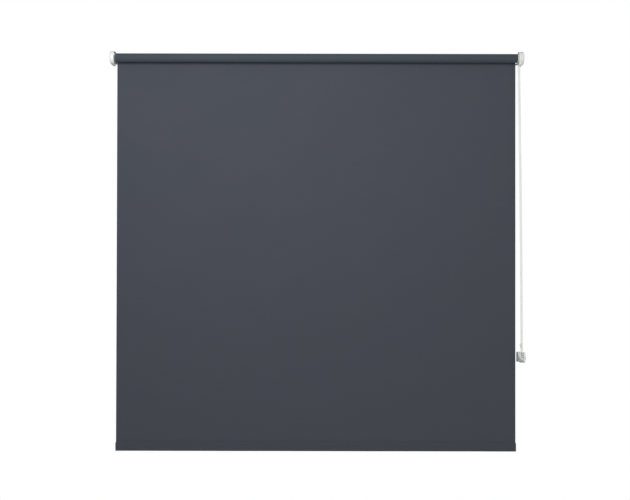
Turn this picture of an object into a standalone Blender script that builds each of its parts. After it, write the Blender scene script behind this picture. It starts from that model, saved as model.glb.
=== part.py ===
"""A roller blind with a bead-chain clutch, lowered, on a wall.

+X runs along the roller towards the chain, -Y points into the room and +Z is up.
The origin is in the wall's plane, at mid-span, at the height of the roller's axis.
The model is in metres.
"""

import math

import bmesh
import bpy
from mathutils import Vector

MM = 0.001

# Overall sizes
FABRIC_WIDTH = 1200 * MM
AXIS_TO_FOOT = 1180 * MM  # roller axis down to the foot of the hem
AXIS_TO_WALL = 30 * MM

# Fits
FIT = 0.3 * MM  # between pieces that touch
RUNNING_FIT = 0.4 * MM  # between pieces that turn against each other

# Roller
CLOTH = 0.35 * MM
TURNS_LEFT = 1.5  # turns of cloth still on the roller when the blind is down
TUBE_RADIUS = 12.5 * MM
TUBE_WALL = 1.0 * MM
GROOVE_WIDTH = 3.0 * MM
GROOVE_DEPTH = 1.6 * MM
SPLINE_THICKNESS = 1.0 * MM
SPLINE_SETBACK = 5 * MM  # from each end of the tube

# Idle end
PLUG_DEPTH = 35 * MM
PLUG_FLANGE = 2.7 * MM
PLUG_FLANGE_RADIUS = 17.5 * MM  # stands past the roll, and keeps the cloth off the bracket
PLUG_NOSE = 5 * MM  # thickness of the plug's wall that guides the pin
IDLE_GAP = 10 * MM  # tube end to bracket plate
PIN_RADIUS = 3.0 * MM
PIN_HEAD_RADIUS = 4.2 * MM
PIN_HEAD = 3.0 * MM
PIN_TAIL_RADIUS = 2.6 * MM
PIN_TAIL = 9 * MM
PIN_PAST_PLATE = 1.2 * MM
PIN_CHAMFER = 0.6 * MM
SPRING_WIRE_RADIUS = 0.4 * MM
SPRING_TURNS = 8
STOP_THICKNESS = 3.0 * MM
BUSH_RADIUS = 7.7 * MM
BUSH_FLANGE_RADIUS = 9.5 * MM
BUSH_FLANGE = 1.2 * MM
BUSH_STANDS_IN = 1.0 * MM

# Brackets and their covers
PLATE = 1.5 * MM
COVER_RADIUS = 20 * MM
COVER_WALL = 1.2 * MM
COVER_DEPTH = 6.0 * MM  # plate's outer face to the cover's outer face
COVER_DOME = 3.5 * MM
COVER_OFF_WALL = 0.5 * MM
IDLE_COVER_LAP = 4.4 * MM  # the idle cover's rim past the plate, towards the roll
FLANGE_WIDTH = 18 * MM
FLANGE_HALF_HEIGHT = 15 * MM
SCREW_HOLE_RADIUS = 2.25 * MM
SCREW_HOLE_HEIGHT = 8.5 * MM  # above and below the axis

# Bead chain
BEAD_DIAMETER = 4.5 * MM
BEAD_PITCH = 6.0 * MM
BEADS_PER_TURN = 10
BEADS_IN_LOOP = 310
CHAIN_CLEARANCE = 0.35 * MM
CHAIN_OUTSET = 11 * MM  # tensioner wheel beyond the sprocket, along X
CONNECTOR_DROP = 862 * MM  # below the roller axis
CONNECTOR_LENGTH = 12 * MM
CONNECTOR_WALL = 0.85 * MM

# Clutch
COLLAR = 2.4 * MM
CORE_RADIUS = 5.2 * MM
CORE_BOSS = 9.6 * MM  # side of the square that goes through the bracket
CORE_NECK = 1.0 * MM  # depth of the neck that the clip sits in
CORE_RIM = 1.2 * MM
WRAP_WIRE = 1.2 * MM
WRAP_TURNS = 8
WRAP_PITCH = 1.55 * MM
FINGER_WALL = 1.0 * MM
FINGER_LENGTH = 33 * MM
DRIVE_PLUG_DEPTH = 41 * MM
DRIVE_PLUG_END = 3.5 * MM
SPROCKET_INNER_FLANGE = 1.9 * MM
SPROCKET_OUTER_FLANGE = 1.0 * MM
SPROCKET_RIM = 2.7 * MM  # flange beyond the beads
GUARD_WALL = 1.2 * MM
GUARD_ROOM = 3.8 * MM  # sprocket flange to guard
GUARD_SHORT = 1.3 * MM  # the rim stops short, which leaves the sprocket's inner flange in view
GUARD_CHAIN_ROOM = 1.2 * MM  # beads to the guard's straight sides
DIVIDER_DROP = 0.7 * MM  # sprocket flange to the top of the divider
DIVIDER_SHARE = 0.6  # of the room between the two strands
GUARD_DROP = 22.6 * MM  # axis to the foot of the guard
SPROCKET_PLAY = 0.8 * MM  # sprocket to the guard's wall
CLIP_THICKNESS = 0.8 * MM
CLIP_RADIUS = 7.5 * MM
SCREW_RADIUS = 2.0 * MM
SCREW_LENGTH = 14 * MM
SCREW_HEAD_RADIUS = 7.0 * MM
SCREW_HEAD = 2.0 * MM
SCREW_HEAD_TAPER = 1.0 * MM

# Bottom bar and hem
BAR_HEIGHT = 24 * MM
BAR_THICKNESS = 4.0 * MM
BAR_WALL = 1.0 * MM
BAR_CAP = 1.1 * MM
BAR_CAP_TONGUE = 12 * MM
BAR_CORNER = 1.2 * MM

# Tensioner
WHEEL_TO_WALL = 19 * MM
WHEEL_WIDTH = 5.0 * MM
SLOT = 5.6 * MM
BODY_CHEEK = 10.5 * MM
BODY_ABOVE = 18.5 * MM  # wheel axis to the body's top
BODY_BELOW = 13 * MM
BODY_CORNER = 7 * MM
BODY_BACK_CORNER = 1.5 * MM
BODY_CHAIN_ROOM = 0.5 * MM  # beads to the body's skin
BODY_ROOT = 1.0 * MM  # how far the spine and the lip reach into the cheek
SPINE_SHORT = 2.0 * MM  # at the top and the foot
AXLE_SEAT = 3.2 * MM  # cheek left beyond the end of the axle
RAIL_INSET = 1.2 * MM  # from the slot to the middle of the rail
BODY_SKIN = 2.2 * MM
BODY_LIP_ABOVE = 3 * MM  # wheel axis to the top of the lip across the slot
TENSIONER_COVER = 5.7 * MM
BOSS = 2.5 * MM
BOSS_ROOT = 1.0 * MM
BOSS_RADIUS = 6.5 * MM
AXLE_RADIUS = 2.0 * MM
AXLE_HEAD_RADIUS = 4.5 * MM
AXLE_HEAD = 1.6 * MM
CLIP_PLATE = 2.0 * MM
CLIP_PLATE_WIDTH = 18 * MM
CLIP_PLATE_ABOVE = 16 * MM
CLIP_PLATE_BELOW = 12 * MM
RAIL_NECK_WIDTH = 5 * MM
RAIL_HEAD_WIDTH = 9 * MM
RAIL_STEP = 1.2 * MM
RAIL_TOP = 8 * MM
RAIL_FOOT = -4 * MM

ROUND = 32  # sides of a large turned piece
SMALL_ROUND = 16
ROLL_SIDES = 48
COIL_STEPS = 12  # per turn of a spring
DOME_STEPS = 4
WHEEL_STEPS = 3  # across half of the wheel's hollow rim

# Sizes that follow, all distances along X measured from mid-span
TUBE_END = FABRIC_WIDTH / 2
TUBE_BORE = TUBE_RADIUS - TUBE_WALL
PLUG_RADIUS = TUBE_BORE - FIT
ROLL_BORE = TUBE_RADIUS + FIT
ROLL_RADIUS = ROLL_BORE + TURNS_LEFT * CLOTH
CLOTH_FRONT = ROLL_RADIUS + FIT  # hanging cloth's front face, behind the axis
GROOVE_LAND = GROOVE_WIDTH / 2 + TUBE_WALL
GROOVE_ROOF = TUBE_RADIUS - GROOVE_DEPTH - TUBE_WALL

IDLE_PLATE = TUBE_END + IDLE_GAP
PLUG_FACE = TUBE_END + FIT + PLUG_FLANGE
PLUG_INNER_END = TUBE_END - PLUG_DEPTH
CHAMBER_RADIUS = PIN_HEAD_RADIUS + RUNNING_FIT
PIN_HEAD_FRONT = PLUG_FACE - PLUG_NOSE - FIT
PIN_HEAD_BACK = PIN_HEAD_FRONT - PIN_HEAD
STOP_FRONT = PLUG_INNER_END + FIT + STOP_THICKNESS

PITCH_RADIUS = BEAD_PITCH * BEADS_PER_TURN / math.tau
BEAD_RADIUS = BEAD_DIAMETER / 2
CHAIN_OUTER = PITCH_RADIUS + BEAD_RADIUS
HUB_RADIUS = PITCH_RADIUS - BEAD_RADIUS - CHAIN_CLEARANCE
COLLAR_FACE = TUBE_END + FIT + COLLAR
SPROCKET_INNER = COLLAR_FACE + FIT
SPROCKET_GROOVE = SPROCKET_INNER + SPROCKET_INNER_FLANGE
SPROCKET_PLANE = SPROCKET_GROOVE + CHAIN_CLEARANCE + BEAD_RADIUS
SPROCKET_OUTER = SPROCKET_PLANE + CHAIN_CLEARANCE + BEAD_RADIUS + SPROCKET_OUTER_FLANGE
SPROCKET_FLANGE_RADIUS = CHAIN_OUTER + SPROCKET_RIM
GUARD_BORE = SPROCKET_FLANGE_RADIUS + GUARD_ROOM
GUARD_BACK = SPROCKET_OUTER + SPROCKET_PLAY
GUARD_FRONT = SPROCKET_GROOVE + GUARD_SHORT
CONTROL_PLATE = GUARD_BACK + GUARD_WALL + FIT
WRAP_INNER = CORE_RADIUS + FIT
WRAP_OUTER = WRAP_INNER + WRAP_WIRE
FINGER_INNER = WRAP_OUTER + FIT
FINGER_OUTER = FINGER_INNER + FINGER_WALL
CROWN_BORE = FINGER_OUTER + FIT
CROWN_END = TUBE_END - DRIVE_PLUG_DEPTH
CLIP_PLACE = CROWN_END - FIT - CLIP_THICKNESS

POCKET_INNER_HEIGHT = BAR_HEIGHT + 2 * FIT
POCKET_HEIGHT = POCKET_INNER_HEIGHT + 2 * CLOTH
POCKET_THICKNESS = BAR_THICKNESS + 2 * FIT + 2 * CLOTH
HEM_Y = CLOTH_FRONT + CLOTH / 2  # middle of the cloth, behind the axis
HEM_Z = -AXIS_TO_FOOT + POCKET_HEIGHT / 2

STRAND = (BEADS_IN_LOOP - BEADS_PER_TURN) * BEAD_PITCH / 2
CHAIN_SHIFT_Y = AXIS_TO_WALL - WHEEL_TO_WALL
CHAIN_DROP = math.sqrt(STRAND**2 - CHAIN_OUTSET**2 - CHAIN_SHIFT_Y**2)
WHEEL_X = SPROCKET_PLANE + CHAIN_OUTSET


# --- shapes ----------------------------------------------------------------------


def arc(centre, radius, start, end, steps):
    """Points on an arc between two angles in degrees, both ends included."""
    points = []
    for step in range(steps + 1):
        angle = math.radians(start + (end - start) * step / steps)
        points.append((centre[0] + radius * math.cos(angle), centre[1] + radius * math.sin(angle)))
    return points


def bracket_outline(radius, back):
    """A flat back edge at y = back, and a half-round front about the roller axis."""
    return [(back, -radius), *arc((0, 0), radius, 270, 90, 18), (back, radius)]


def rounded_rectangle(low, high, radii, steps=4):
    """A rectangle whose corners have the given radii, from (low, low) anticlockwise."""
    corners = ((low[0], low[1]), (high[0], low[1]), (high[0], high[1]), (low[0], high[1]))
    points = []
    for turn, (corner, radius) in enumerate(zip(corners, radii)):
        inward = ((1, 1), (-1, 1), (-1, -1), (1, -1))[turn]
        centre = (corner[0] + inward[0] * radius, corner[1] + inward[1] * radius)
        points += arc(centre, radius, 180 + 90 * turn, 270 + 90 * turn, steps)
    return points


def sector(inner, outer, middle, width):
    """Part of a ring, round the middle angle, in degrees."""
    low, high = middle - width / 2, middle + width / 2
    return arc((0, 0), outer, low, high, 10) + arc((0, 0), inner, high, low, 10)


def keyed_circle(radius, half_width, floor, steps):
    """A circle with a flat-bottomed notch at its top, half_width each side."""
    edge = math.degrees(math.acos(half_width / radius))
    outline = arc((0, 0), radius, 180 - edge, 360 + edge, steps)
    return outline + [(half_width, floor), (-half_width, floor)]


def place(across, along, axis):
    """A point of an outline, set at a distance along X or Z."""
    if axis == "X":
        return (along, across[0], across[1])
    return (across[0], across[1], along)


def add_loft(bm, sections, axis="X"):
    """Outlines with equal numbers of points, joined in order and closed at both ends."""
    rings = []
    for along, outline in sections:
        rings.append([bm.verts.new(place(point, along, axis)) for point in outline])
    bridge(bm, rings)
    bm.faces.new(rings[0])
    bm.faces.new(rings[-1])


def add_prism(bm, outline, start, end, axis="X"):
    add_loft(bm, [(start, outline), (end, outline)], axis)


def add_pipe(bm, outer, inner, start, end):
    """A prism with a hole right through it, whose outlines have equal numbers of points."""
    rings = []
    for along, outline in ((start, outer), (end, outer), (end, inner), (start, inner), (start, outer)):
        rings.append([bm.verts.new(place(point, along, "X")) for point in outline])
    bridge(bm, rings)
    bmesh.ops.remove_doubles(bm, verts=rings[0] + rings[-1], dist=1e-7)


def add_turned(bm, profile, sides=ROUND):
    """A shape turned about X, from a closed outline of (x, radius) points."""
    rings = []
    for x, radius in [*profile, profile[0]]:
        if radius < 1e-9:
            rings.append([bm.verts.new((x, 0, 0))] * sides)
        else:
            rings.append([bm.verts.new(place(point, x, "X")) for point in circle(radius, sides)])
    bridge(bm, rings)
    doubles = [vert for vert in bm.verts if vert.is_valid]
    bmesh.ops.remove_doubles(bm, verts=doubles, dist=1e-7)
    loose = [vert for vert in bm.verts if not vert.link_faces]
    bmesh.ops.delete(bm, geom=loose, context="VERTS")


def circle(radius, sides):
    return arc((0, 0), radius, 0, 360 - 360 / sides, sides - 1)


def bridge(bm, rings):
    """Faces between neighbouring rings of equal length."""
    for ring, following in zip(rings, rings[1:]):
        for index, vert in enumerate(ring):
            after = (index + 1) % len(ring)
            corners = [vert, ring[after], following[after], following[index]]
            corners = list(dict.fromkeys(corners))
            if len(corners) > 2:
                bm.faces.new(corners)


def add_box(bm, low, high):
    outline = [(low[1], low[2]), (high[1], low[2]), (high[1], high[2]), (low[1], high[2])]
    add_prism(bm, outline, low[0], high[0])


def add_hole(bm, x, z, radius, y_start, y_end):
    """A cylinder along Y."""
    for_point = [(x + u, z + v) for u, v in circle(radius, SMALL_ROUND)]
    rings = []
    for y in (y_start, y_end):
        rings.append([bm.verts.new((u, y, v)) for u, v in for_point])
    bridge(bm, rings)
    bm.faces.new(rings[0])
    bm.faces.new(rings[1])


# --- objects ---------------------------------------------------------------------


def material(name, colour, roughness, metallic=0.0):
    made = bpy.data.materials.new(name)
    made.use_nodes = True
    shader = made.node_tree.nodes["Principled BSDF"]
    shader.inputs["Base Color"].default_value = (*colour, 1)
    shader.inputs["Roughness"].default_value = roughness
    shader.inputs["Metallic"].default_value = metallic
    return made


def empty(name, location):
    made = bpy.data.objects.new(name, None)
    made.location = location
    made.empty_display_size = 20 * MM
    bpy.context.scene.collection.objects.link(made)
    return made


def piece(name, parent, colours, build):
    """An object whose mesh is made by build(bm), in its parent's coordinates."""
    bm = bmesh.new()
    build(bm)
    bmesh.ops.recalc_face_normals(bm, faces=bm.faces)
    mesh = bpy.data.meshes.new(name)
    bm.to_mesh(mesh)
    bm.free()
    mesh.shade_smooth()
    mesh.set_sharp_from_angle(angle=math.radians(30))
    made = bpy.data.objects.new(name, mesh)
    made.parent = parent
    if colours is not None:
        mesh.materials.append(material(name + "_material", *colours))
    bpy.context.scene.collection.objects.link(made)
    return made


def shape(target, operation, build):
    """Join a shape to an object or cut it away, with a Boolean whose operand is hidden."""
    name = f"{target.name}_{operation.lower()}_{len(target.modifiers)}"
    operand = piece(name, target.parent, None, build)
    operand.hide_render = True
    operand.display_type = "WIRE"
    boolean = target.modifiers.new(name, "BOOLEAN")
    boolean.operation = operation
    boolean.solver = "EXACT"
    boolean.object = operand


def join(target, build):
    shape(target, "UNION", build)


def cut(target, build):
    shape(target, "DIFFERENCE", build)


def wire(name, parent, colours, points, radius, cyclic=False, sides_resolution=2):
    """A round wire or cord through the given points."""
    curve = bpy.data.curves.new(name, "CURVE")
    curve.dimensions = "3D"
    curve.bevel_depth = radius
    curve.bevel_resolution = sides_resolution
    curve.use_fill_caps = True
    spline = curve.splines.new("POLY")
    spline.points.add(len(points) - 1)
    for place_of, point in zip(spline.points, points):
        place_of.co = (*point, 1)
    spline.use_cyclic_u = cyclic
    made = bpy.data.objects.new(name, curve)
    made.parent = parent
    curve.materials.append(material(name + "_material", *colours))
    bpy.context.scene.collection.objects.link(made)
    return made


# --- colours: (linear RGB), roughness, metallic ------------------------------------

CLOTH_COLOUR = ((0.078, 0.087, 0.108), 0.85)
WHITE_PLASTIC = ((0.78, 0.79, 0.78), 0.35)
GREY_PLASTIC = ((0.30, 0.33, 0.33), 0.45)
DARK_PLASTIC = ((0.035, 0.04, 0.042), 0.4)
NATURAL_PLASTIC = ((0.55, 0.54, 0.50), 0.4)
STEEL = ((0.56, 0.57, 0.58), 0.3, 1.0)
ALUMINIUM = ((0.74, 0.75, 0.76), 0.35, 1.0)
PAINTED_STEEL = ((0.72, 0.73, 0.72), 0.4)


# --- brackets --------------------------------------------------------------------


def bracket(name, roller_axis, side, plate):
    """A steel plate beside the roller, with a flange on the wall behind the roll."""

    def side_plate(bm):
        add_prism(bm, plate_outline, side * plate, side * (plate + PLATE))

    def wall_flange(bm):
        ends = sorted((side * (plate - FLANGE_WIDTH), side * (plate + PLATE / 2)))
        low = (ends[0], AXIS_TO_WALL - PLATE, -FLANGE_HALF_HEIGHT)
        high = (ends[1], AXIS_TO_WALL, FLANGE_HALF_HEIGHT)
        add_box(bm, low, high)

    def screw_holes(bm):
        middle = side * (plate - FLANGE_WIDTH / 2)
        for height in (-SCREW_HOLE_HEIGHT, SCREW_HOLE_HEIGHT):
            add_hole(bm, middle, height, SCREW_HOLE_RADIUS, AXIS_TO_WALL - 2 * PLATE, AXIS_TO_WALL + PLATE)

    plate_outline = bracket_outline(COVER_RADIUS - COVER_WALL - FIT, AXIS_TO_WALL)
    made = piece(name, roller_axis, PAINTED_STEEL, side_plate)
    join(made, wall_flange)
    cut(made, screw_holes)
    return made


def bracket_cover(name, roller_axis, side, plate, lap):
    """A domed shell round the plate's edge and past it by the lap, open to the roller and the wall."""

    def domed(bm, inset, start, back):
        outer_face = plate + PLATE + COVER_DEPTH - inset
        radius = COVER_RADIUS - inset
        dome = COVER_DOME - inset
        sections = [(side * start, bracket_outline(radius, back))]
        for step in range(DOME_STEPS + 1):
            angle = math.radians(90 * step / DOME_STEPS)
            along = outer_face - dome * (1 - math.sin(angle))
            narrowed = radius - dome * (1 - math.cos(angle))
            sections.append((side * along, bracket_outline(narrowed, back)))
        add_loft(bm, sections)

    back = AXIS_TO_WALL - COVER_OFF_WALL
    rim = plate - lap
    made = piece(name, roller_axis, WHITE_PLASTIC, lambda bm: domed(bm, 0, rim, back))
    cut(made, lambda bm: domed(bm, COVER_WALL, rim - PLATE, AXIS_TO_WALL + COVER_WALL))
    return made


# --- idle end --------------------------------------------------------------------


def idle_end(wall_axis, roller_axis):
    made = bracket("idle_bracket", wall_axis, -1, IDLE_PLATE)
    bush_hole = BUSH_RADIUS + FIT
    outer = IDLE_PLATE + PLATE
    cut(made, lambda bm: add_prism(bm, circle(bush_hole, ROUND), -IDLE_PLATE + PLATE, -outer - PLATE))
    bracket_cover("idle_bracket_cover", wall_axis, -1, IDLE_PLATE, IDLE_COVER_LAP)

    bore = PIN_RADIUS + FIT
    bush_end = outer + FIT + BUSH_FLANGE
    bush = [
        (-(IDLE_PLATE - BUSH_STANDS_IN), bore),
        (-(IDLE_PLATE - BUSH_STANDS_IN), BUSH_RADIUS),
        (-(outer + FIT), BUSH_RADIUS),
        (-(outer + FIT), BUSH_FLANGE_RADIUS),
        (-bush_end, BUSH_FLANGE_RADIUS),
        (-bush_end, bore),
    ]
    piece("idle_bush", wall_axis, NATURAL_PLASTIC, lambda bm: add_turned(bm, bush, ROUND))

    plug = [
        (-PLUG_FACE, bore),
        (-PLUG_FACE, PLUG_FLANGE_RADIUS),
        (-(TUBE_END + FIT), ROLL_RADIUS),
        (-(TUBE_END + FIT), PLUG_RADIUS),
        (-PLUG_INNER_END, PLUG_RADIUS),
        (-PLUG_INNER_END, CHAMBER_RADIUS),
        (-(PLUG_FACE - PLUG_NOSE), CHAMBER_RADIUS),
        (-(PLUG_FACE - PLUG_NOSE), bore),
    ]
    made = piece("idle_plug", roller_axis, DARK_PLASTIC, lambda bm: add_turned(bm, plug))
    cut(made, lambda bm: add_key(bm, -TUBE_END - FIT / 2, -PLUG_INNER_END + FIT))

    tip = outer + PIN_PAST_PLATE
    pin = [
        (-tip, 0),
        (-tip, PIN_RADIUS - PIN_CHAMFER),
        (-tip + PIN_CHAMFER, PIN_RADIUS),
        (-PIN_HEAD_FRONT, PIN_RADIUS),
        (-PIN_HEAD_FRONT, PIN_HEAD_RADIUS),
        (-PIN_HEAD_BACK, PIN_HEAD_RADIUS),
        (-PIN_HEAD_BACK, PIN_TAIL_RADIUS),
        (-PIN_HEAD_BACK + PIN_TAIL, PIN_TAIL_RADIUS),
        (-PIN_HEAD_BACK + PIN_TAIL, 0),
    ]
    piece("idle_pin", roller_axis, STEEL, lambda bm: add_turned(bm, pin, SMALL_ROUND))

    stop = [
        (-STOP_FRONT, 0),
        (-STOP_FRONT, CHAMBER_RADIUS - FIT),
        (-PLUG_INNER_END, CHAMBER_RADIUS - FIT),
        (-PLUG_INNER_END, 0),
    ]
    piece("idle_spring_stop", roller_axis, NATURAL_PLASTIC, lambda bm: add_turned(bm, stop, SMALL_ROUND))

    start = -(PIN_HEAD_BACK - FIT - SPRING_WIRE_RADIUS)
    end = -(STOP_FRONT + FIT + SPRING_WIRE_RADIUS)
    coil_radius = PIN_HEAD_RADIUS - SPRING_WIRE_RADIUS - FIT
    wire(
        "idle_spring",
        roller_axis,
        STEEL,
        helix(start, end, coil_radius, SPRING_TURNS, COIL_STEPS),
        SPRING_WIRE_RADIUS,
        sides_resolution=0,
    )


def add_key(bm, start, end):
    """The groove's roof inside the tube, with clearance, as a plug must leave it."""
    half = GROOVE_LAND + FIT
    add_box(bm, (start, -half, GROOVE_ROOF - FIT), (end, half, TUBE_RADIUS))


def helix(start, end, radius, turns, steps_per_turn):
    count = round(turns * steps_per_turn)
    points = []
    for step in range(count + 1):
        angle = math.tau * step / steps_per_turn
        along = start + (end - start) * step / count
        points.append((along, radius * math.cos(angle), radius * math.sin(angle)))
    return points


# --- roller ----------------------------------------------------------------------


def roller(roller_axis):
    outer = keyed_circle(TUBE_RADIUS, GROOVE_WIDTH / 2, TUBE_RADIUS - GROOVE_DEPTH, ROLL_SIDES)
    inner = keyed_circle(TUBE_BORE, GROOVE_LAND, GROOVE_ROOF, ROLL_SIDES)
    piece("roller_tube", roller_axis, ALUMINIUM, lambda bm: add_pipe(bm, outer, inner, -TUBE_END, TUBE_END))

    wound = (circle(ROLL_RADIUS, ROLL_SIDES), circle(ROLL_BORE, ROLL_SIDES))
    piece("fabric_roll", roller_axis, CLOTH_COLOUR, lambda bm: add_pipe(bm, *wound, -TUBE_END, TUBE_END))

    half = GROOVE_WIDTH / 2 - FIT
    floor = TUBE_RADIUS - GROOVE_DEPTH + FIT
    end = TUBE_END - SPLINE_SETBACK
    low = (-end, -half, floor)
    high = (end, half, floor + SPLINE_THICKNESS)
    piece("fabric_spline", roller_axis, NATURAL_PLASTIC, lambda bm: add_box(bm, low, high))


# --- clutch ----------------------------------------------------------------------


def clutch(wall_axis, roller_axis, sprocket_axis):
    boss = CORE_BOSS / 2
    hole = boss + FIT
    plate_outer = CONTROL_PLATE + PLATE
    made = bracket("control_bracket", wall_axis, 1, CONTROL_PLATE)
    cut(made, lambda bm: add_box(bm, (GUARD_BACK, -hole, -hole), (plate_outer + PLATE, hole, hole)))
    bracket_cover("control_bracket_cover", wall_axis, 1, CONTROL_PLATE, 0)

    drive_plug(roller_axis)
    sprocket(sprocket_axis)
    chain_guard(wall_axis, hole)

    neck = CORE_RADIUS - CORE_NECK
    neck_end = CLIP_PLACE - FIT
    core_end = GUARD_BACK - SPROCKET_PLAY / 4
    core = [
        (neck_end - CORE_RIM, 0),
        (neck_end - CORE_RIM, CORE_RADIUS),
        (neck_end, CORE_RADIUS),
        (neck_end, neck),
        (CROWN_END - FIT / 2, neck),
        (CROWN_END - FIT / 2, CORE_RADIUS),
        (core_end, CORE_RADIUS),
        (core_end, 0),
    ]
    made = piece("clutch_core", wall_axis, NATURAL_PLASTIC, lambda bm: add_turned(bm, core, ROUND))
    boss_start = GUARD_BACK - SPROCKET_PLAY / 2
    join(made, lambda bm: add_prism(bm, square(boss), boss_start, plate_outer))
    bore_end = plate_outer - SCREW_LENGTH - FIT
    bore = circle(SCREW_RADIUS + FIT, SMALL_ROUND)
    cut(made, lambda bm: add_prism(bm, bore, bore_end, plate_outer + FIT))

    head = plate_outer + FIT
    screw = [
        (head - SCREW_LENGTH, 0),
        (head - SCREW_LENGTH, SCREW_RADIUS),
        (head, SCREW_RADIUS),
        (head, SCREW_HEAD_RADIUS),
        (head + SCREW_HEAD, SCREW_HEAD_RADIUS - SCREW_HEAD_TAPER),
        (head + SCREW_HEAD, 0),
    ]
    piece("clutch_screw", wall_axis, STEEL, lambda bm: add_turned(bm, screw, SMALL_ROUND))

    clip = sector(neck + FIT, CLIP_RADIUS, -90, 290)
    piece(
        "clutch_clip",
        wall_axis,
        STEEL,
        lambda bm: add_prism(bm, clip, CLIP_PLACE, CLIP_PLACE + CLIP_THICKNESS),
    )

    room = (CROWN_END + DRIVE_PLUG_END, SPROCKET_INNER - FIT)
    length = WRAP_TURNS * WRAP_PITCH + 2 * WRAP_WIRE
    spare = (room[1] - room[0] - 2 * length) / 3
    for number, name in enumerate(("wrap_spring_inner", "wrap_spring_outer")):
        start = room[0] + spare + number * (length + spare) + WRAP_WIRE
        middle = WRAP_INNER + WRAP_WIRE / 2
        turns = helix(start, start + WRAP_TURNS * WRAP_PITCH, middle, WRAP_TURNS, COIL_STEPS)
        wire(name, sprocket_axis, STEEL, turns, WRAP_WIRE / 2, sides_resolution=0)


def square(half):
    return [(-half, -half), (half, -half), (half, half), (-half, half)]


def drive_plug(roller_axis):
    """The dark collar beside the roll, and the crown inside the tube that the finger turns."""
    hub_bore = CORE_RADIUS + FIT
    hub_end = CROWN_END + DRIVE_PLUG_END
    profile = [
        (COLLAR_FACE, CROWN_BORE),
        (COLLAR_FACE, ROLL_RADIUS),
        (TUBE_END + FIT, ROLL_RADIUS),
        (TUBE_END + FIT, PLUG_RADIUS),
        (CROWN_END, PLUG_RADIUS),
        (CROWN_END, hub_bore),
        (hub_end, hub_bore),
        (hub_end, CROWN_BORE),
    ]
    made = piece("drive_plug", roller_axis, DARK_PLASTIC, lambda bm: add_turned(bm, profile))
    rib = sector(FINGER_INNER, CROWN_BORE + FIT, 90, 60)
    rib_end = hub_end + FINGER_LENGTH
    join(made, lambda bm: add_prism(bm, rib, hub_end - FIT, rib_end))
    cut(made, lambda bm: add_key(bm, CROWN_END - FIT, TUBE_END + FIT / 2))


def sprocket(sprocket_axis):
    """Two flanges with the chain between them, and a finger that reaches into the crown."""
    bore = CORE_RADIUS + FIT
    groove_end = SPROCKET_OUTER - SPROCKET_OUTER_FLANGE
    profile = [
        (SPROCKET_INNER, bore),
        (SPROCKET_INNER, SPROCKET_FLANGE_RADIUS),
        (SPROCKET_GROOVE, SPROCKET_FLANGE_RADIUS),
        (SPROCKET_GROOVE, HUB_RADIUS),
        (groove_end, HUB_RADIUS),
        (groove_end, SPROCKET_FLANGE_RADIUS),
        (SPROCKET_OUTER, SPROCKET_FLANGE_RADIUS),
        (SPROCKET_OUTER, bore),
    ]
    made = piece("sprocket", sprocket_axis, WHITE_PLASTIC, lambda bm: add_turned(bm, profile))
    finger = sector(FINGER_INNER, FINGER_OUTER, -90, 120)
    finger_start = SPROCKET_INNER - FINGER_LENGTH
    join(made, lambda bm: add_prism(bm, finger, finger_start, SPROCKET_INNER + FIT))


def guard_outline(radius, half_width, foot):
    """Round above, with straight sides down to the foot where the chain leaves."""
    turn = math.degrees(math.acos(half_width / radius))
    return [(-half_width, foot), (half_width, foot), *arc((0, 0), radius, -turn, 180 + turn, 32)]


def chain_guard(wall_axis, hole):
    inner_half = CHAIN_OUTER + GUARD_CHAIN_ROOM
    outer_outline = guard_outline(GUARD_BORE + GUARD_WALL, inner_half + GUARD_WALL, -GUARD_DROP)
    inner_outline = guard_outline(GUARD_BORE, inner_half, -GUARD_DROP - GUARD_WALL)
    back = GUARD_BACK + GUARD_WALL
    made = piece(
        "chain_guard", wall_axis, WHITE_PLASTIC, lambda bm: add_prism(bm, outer_outline, GUARD_FRONT, back)
    )
    cut(made, lambda bm: add_prism(bm, inner_outline, GUARD_FRONT - FIT, GUARD_BACK))

    divider_half = (PITCH_RADIUS - BEAD_RADIUS) * DIVIDER_SHARE
    divider_top = -SPROCKET_FLANGE_RADIUS - DIVIDER_DROP
    low = (GUARD_FRONT, -divider_half, -GUARD_DROP)
    high = (GUARD_BACK + GUARD_WALL / 2, divider_half, divider_top)
    join(made, lambda bm: add_box(bm, low, high))
    cut(made, lambda bm: add_box(bm, (SPROCKET_OUTER, -hole, -hole), (back + FIT, hole, hole)))


# --- hanging cloth and bottom bar ----------------------------------------------------


def lower_part(rail):
    """The hanging cloth, the hem and what is in it, all behind the roller axis."""
    hem_top = HEM_Z + POCKET_HEIGHT / 2
    low = (-TUBE_END, CLOTH_FRONT, hem_top + FIT)
    high = (TUBE_END, CLOTH_FRONT + CLOTH, 0)
    piece("fabric_sheet", rail, CLOTH_COLOUR, lambda bm: add_box(bm, low, high))

    pocket = bar_section(POCKET_THICKNESS, POCKET_HEIGHT)
    lining = bar_section(POCKET_THICKNESS - 2 * CLOTH, POCKET_INNER_HEIGHT)
    piece("hem_pocket", rail, CLOTH_COLOUR, lambda bm: add_pipe(bm, pocket, lining, -TUBE_END, TUBE_END))

    bar = bar_section(BAR_THICKNESS, BAR_HEIGHT)
    hollow = bar_section(BAR_THICKNESS - 2 * BAR_WALL, BAR_HEIGHT - 2 * BAR_WALL)
    piece("bottom_bar", rail, ALUMINIUM, lambda bm: add_pipe(bm, bar, hollow, -TUBE_END, TUBE_END))

    gap = 2 * BAR_WALL + 2 * FIT
    tongue = bar_section(BAR_THICKNESS - gap, BAR_HEIGHT - gap)
    for side, name in ((-1, "bar_cap_left"), (1, "bar_cap_right")):
        face = side * (TUBE_END + FIT)
        sections = [
            (side * (TUBE_END - BAR_CAP_TONGUE), tongue),
            (face, tongue),
            (face, pocket),
            (face + side * BAR_CAP, pocket),
        ]
        piece(name, rail, DARK_PLASTIC, lambda bm, sections=sections: add_loft(bm, sections))


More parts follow.
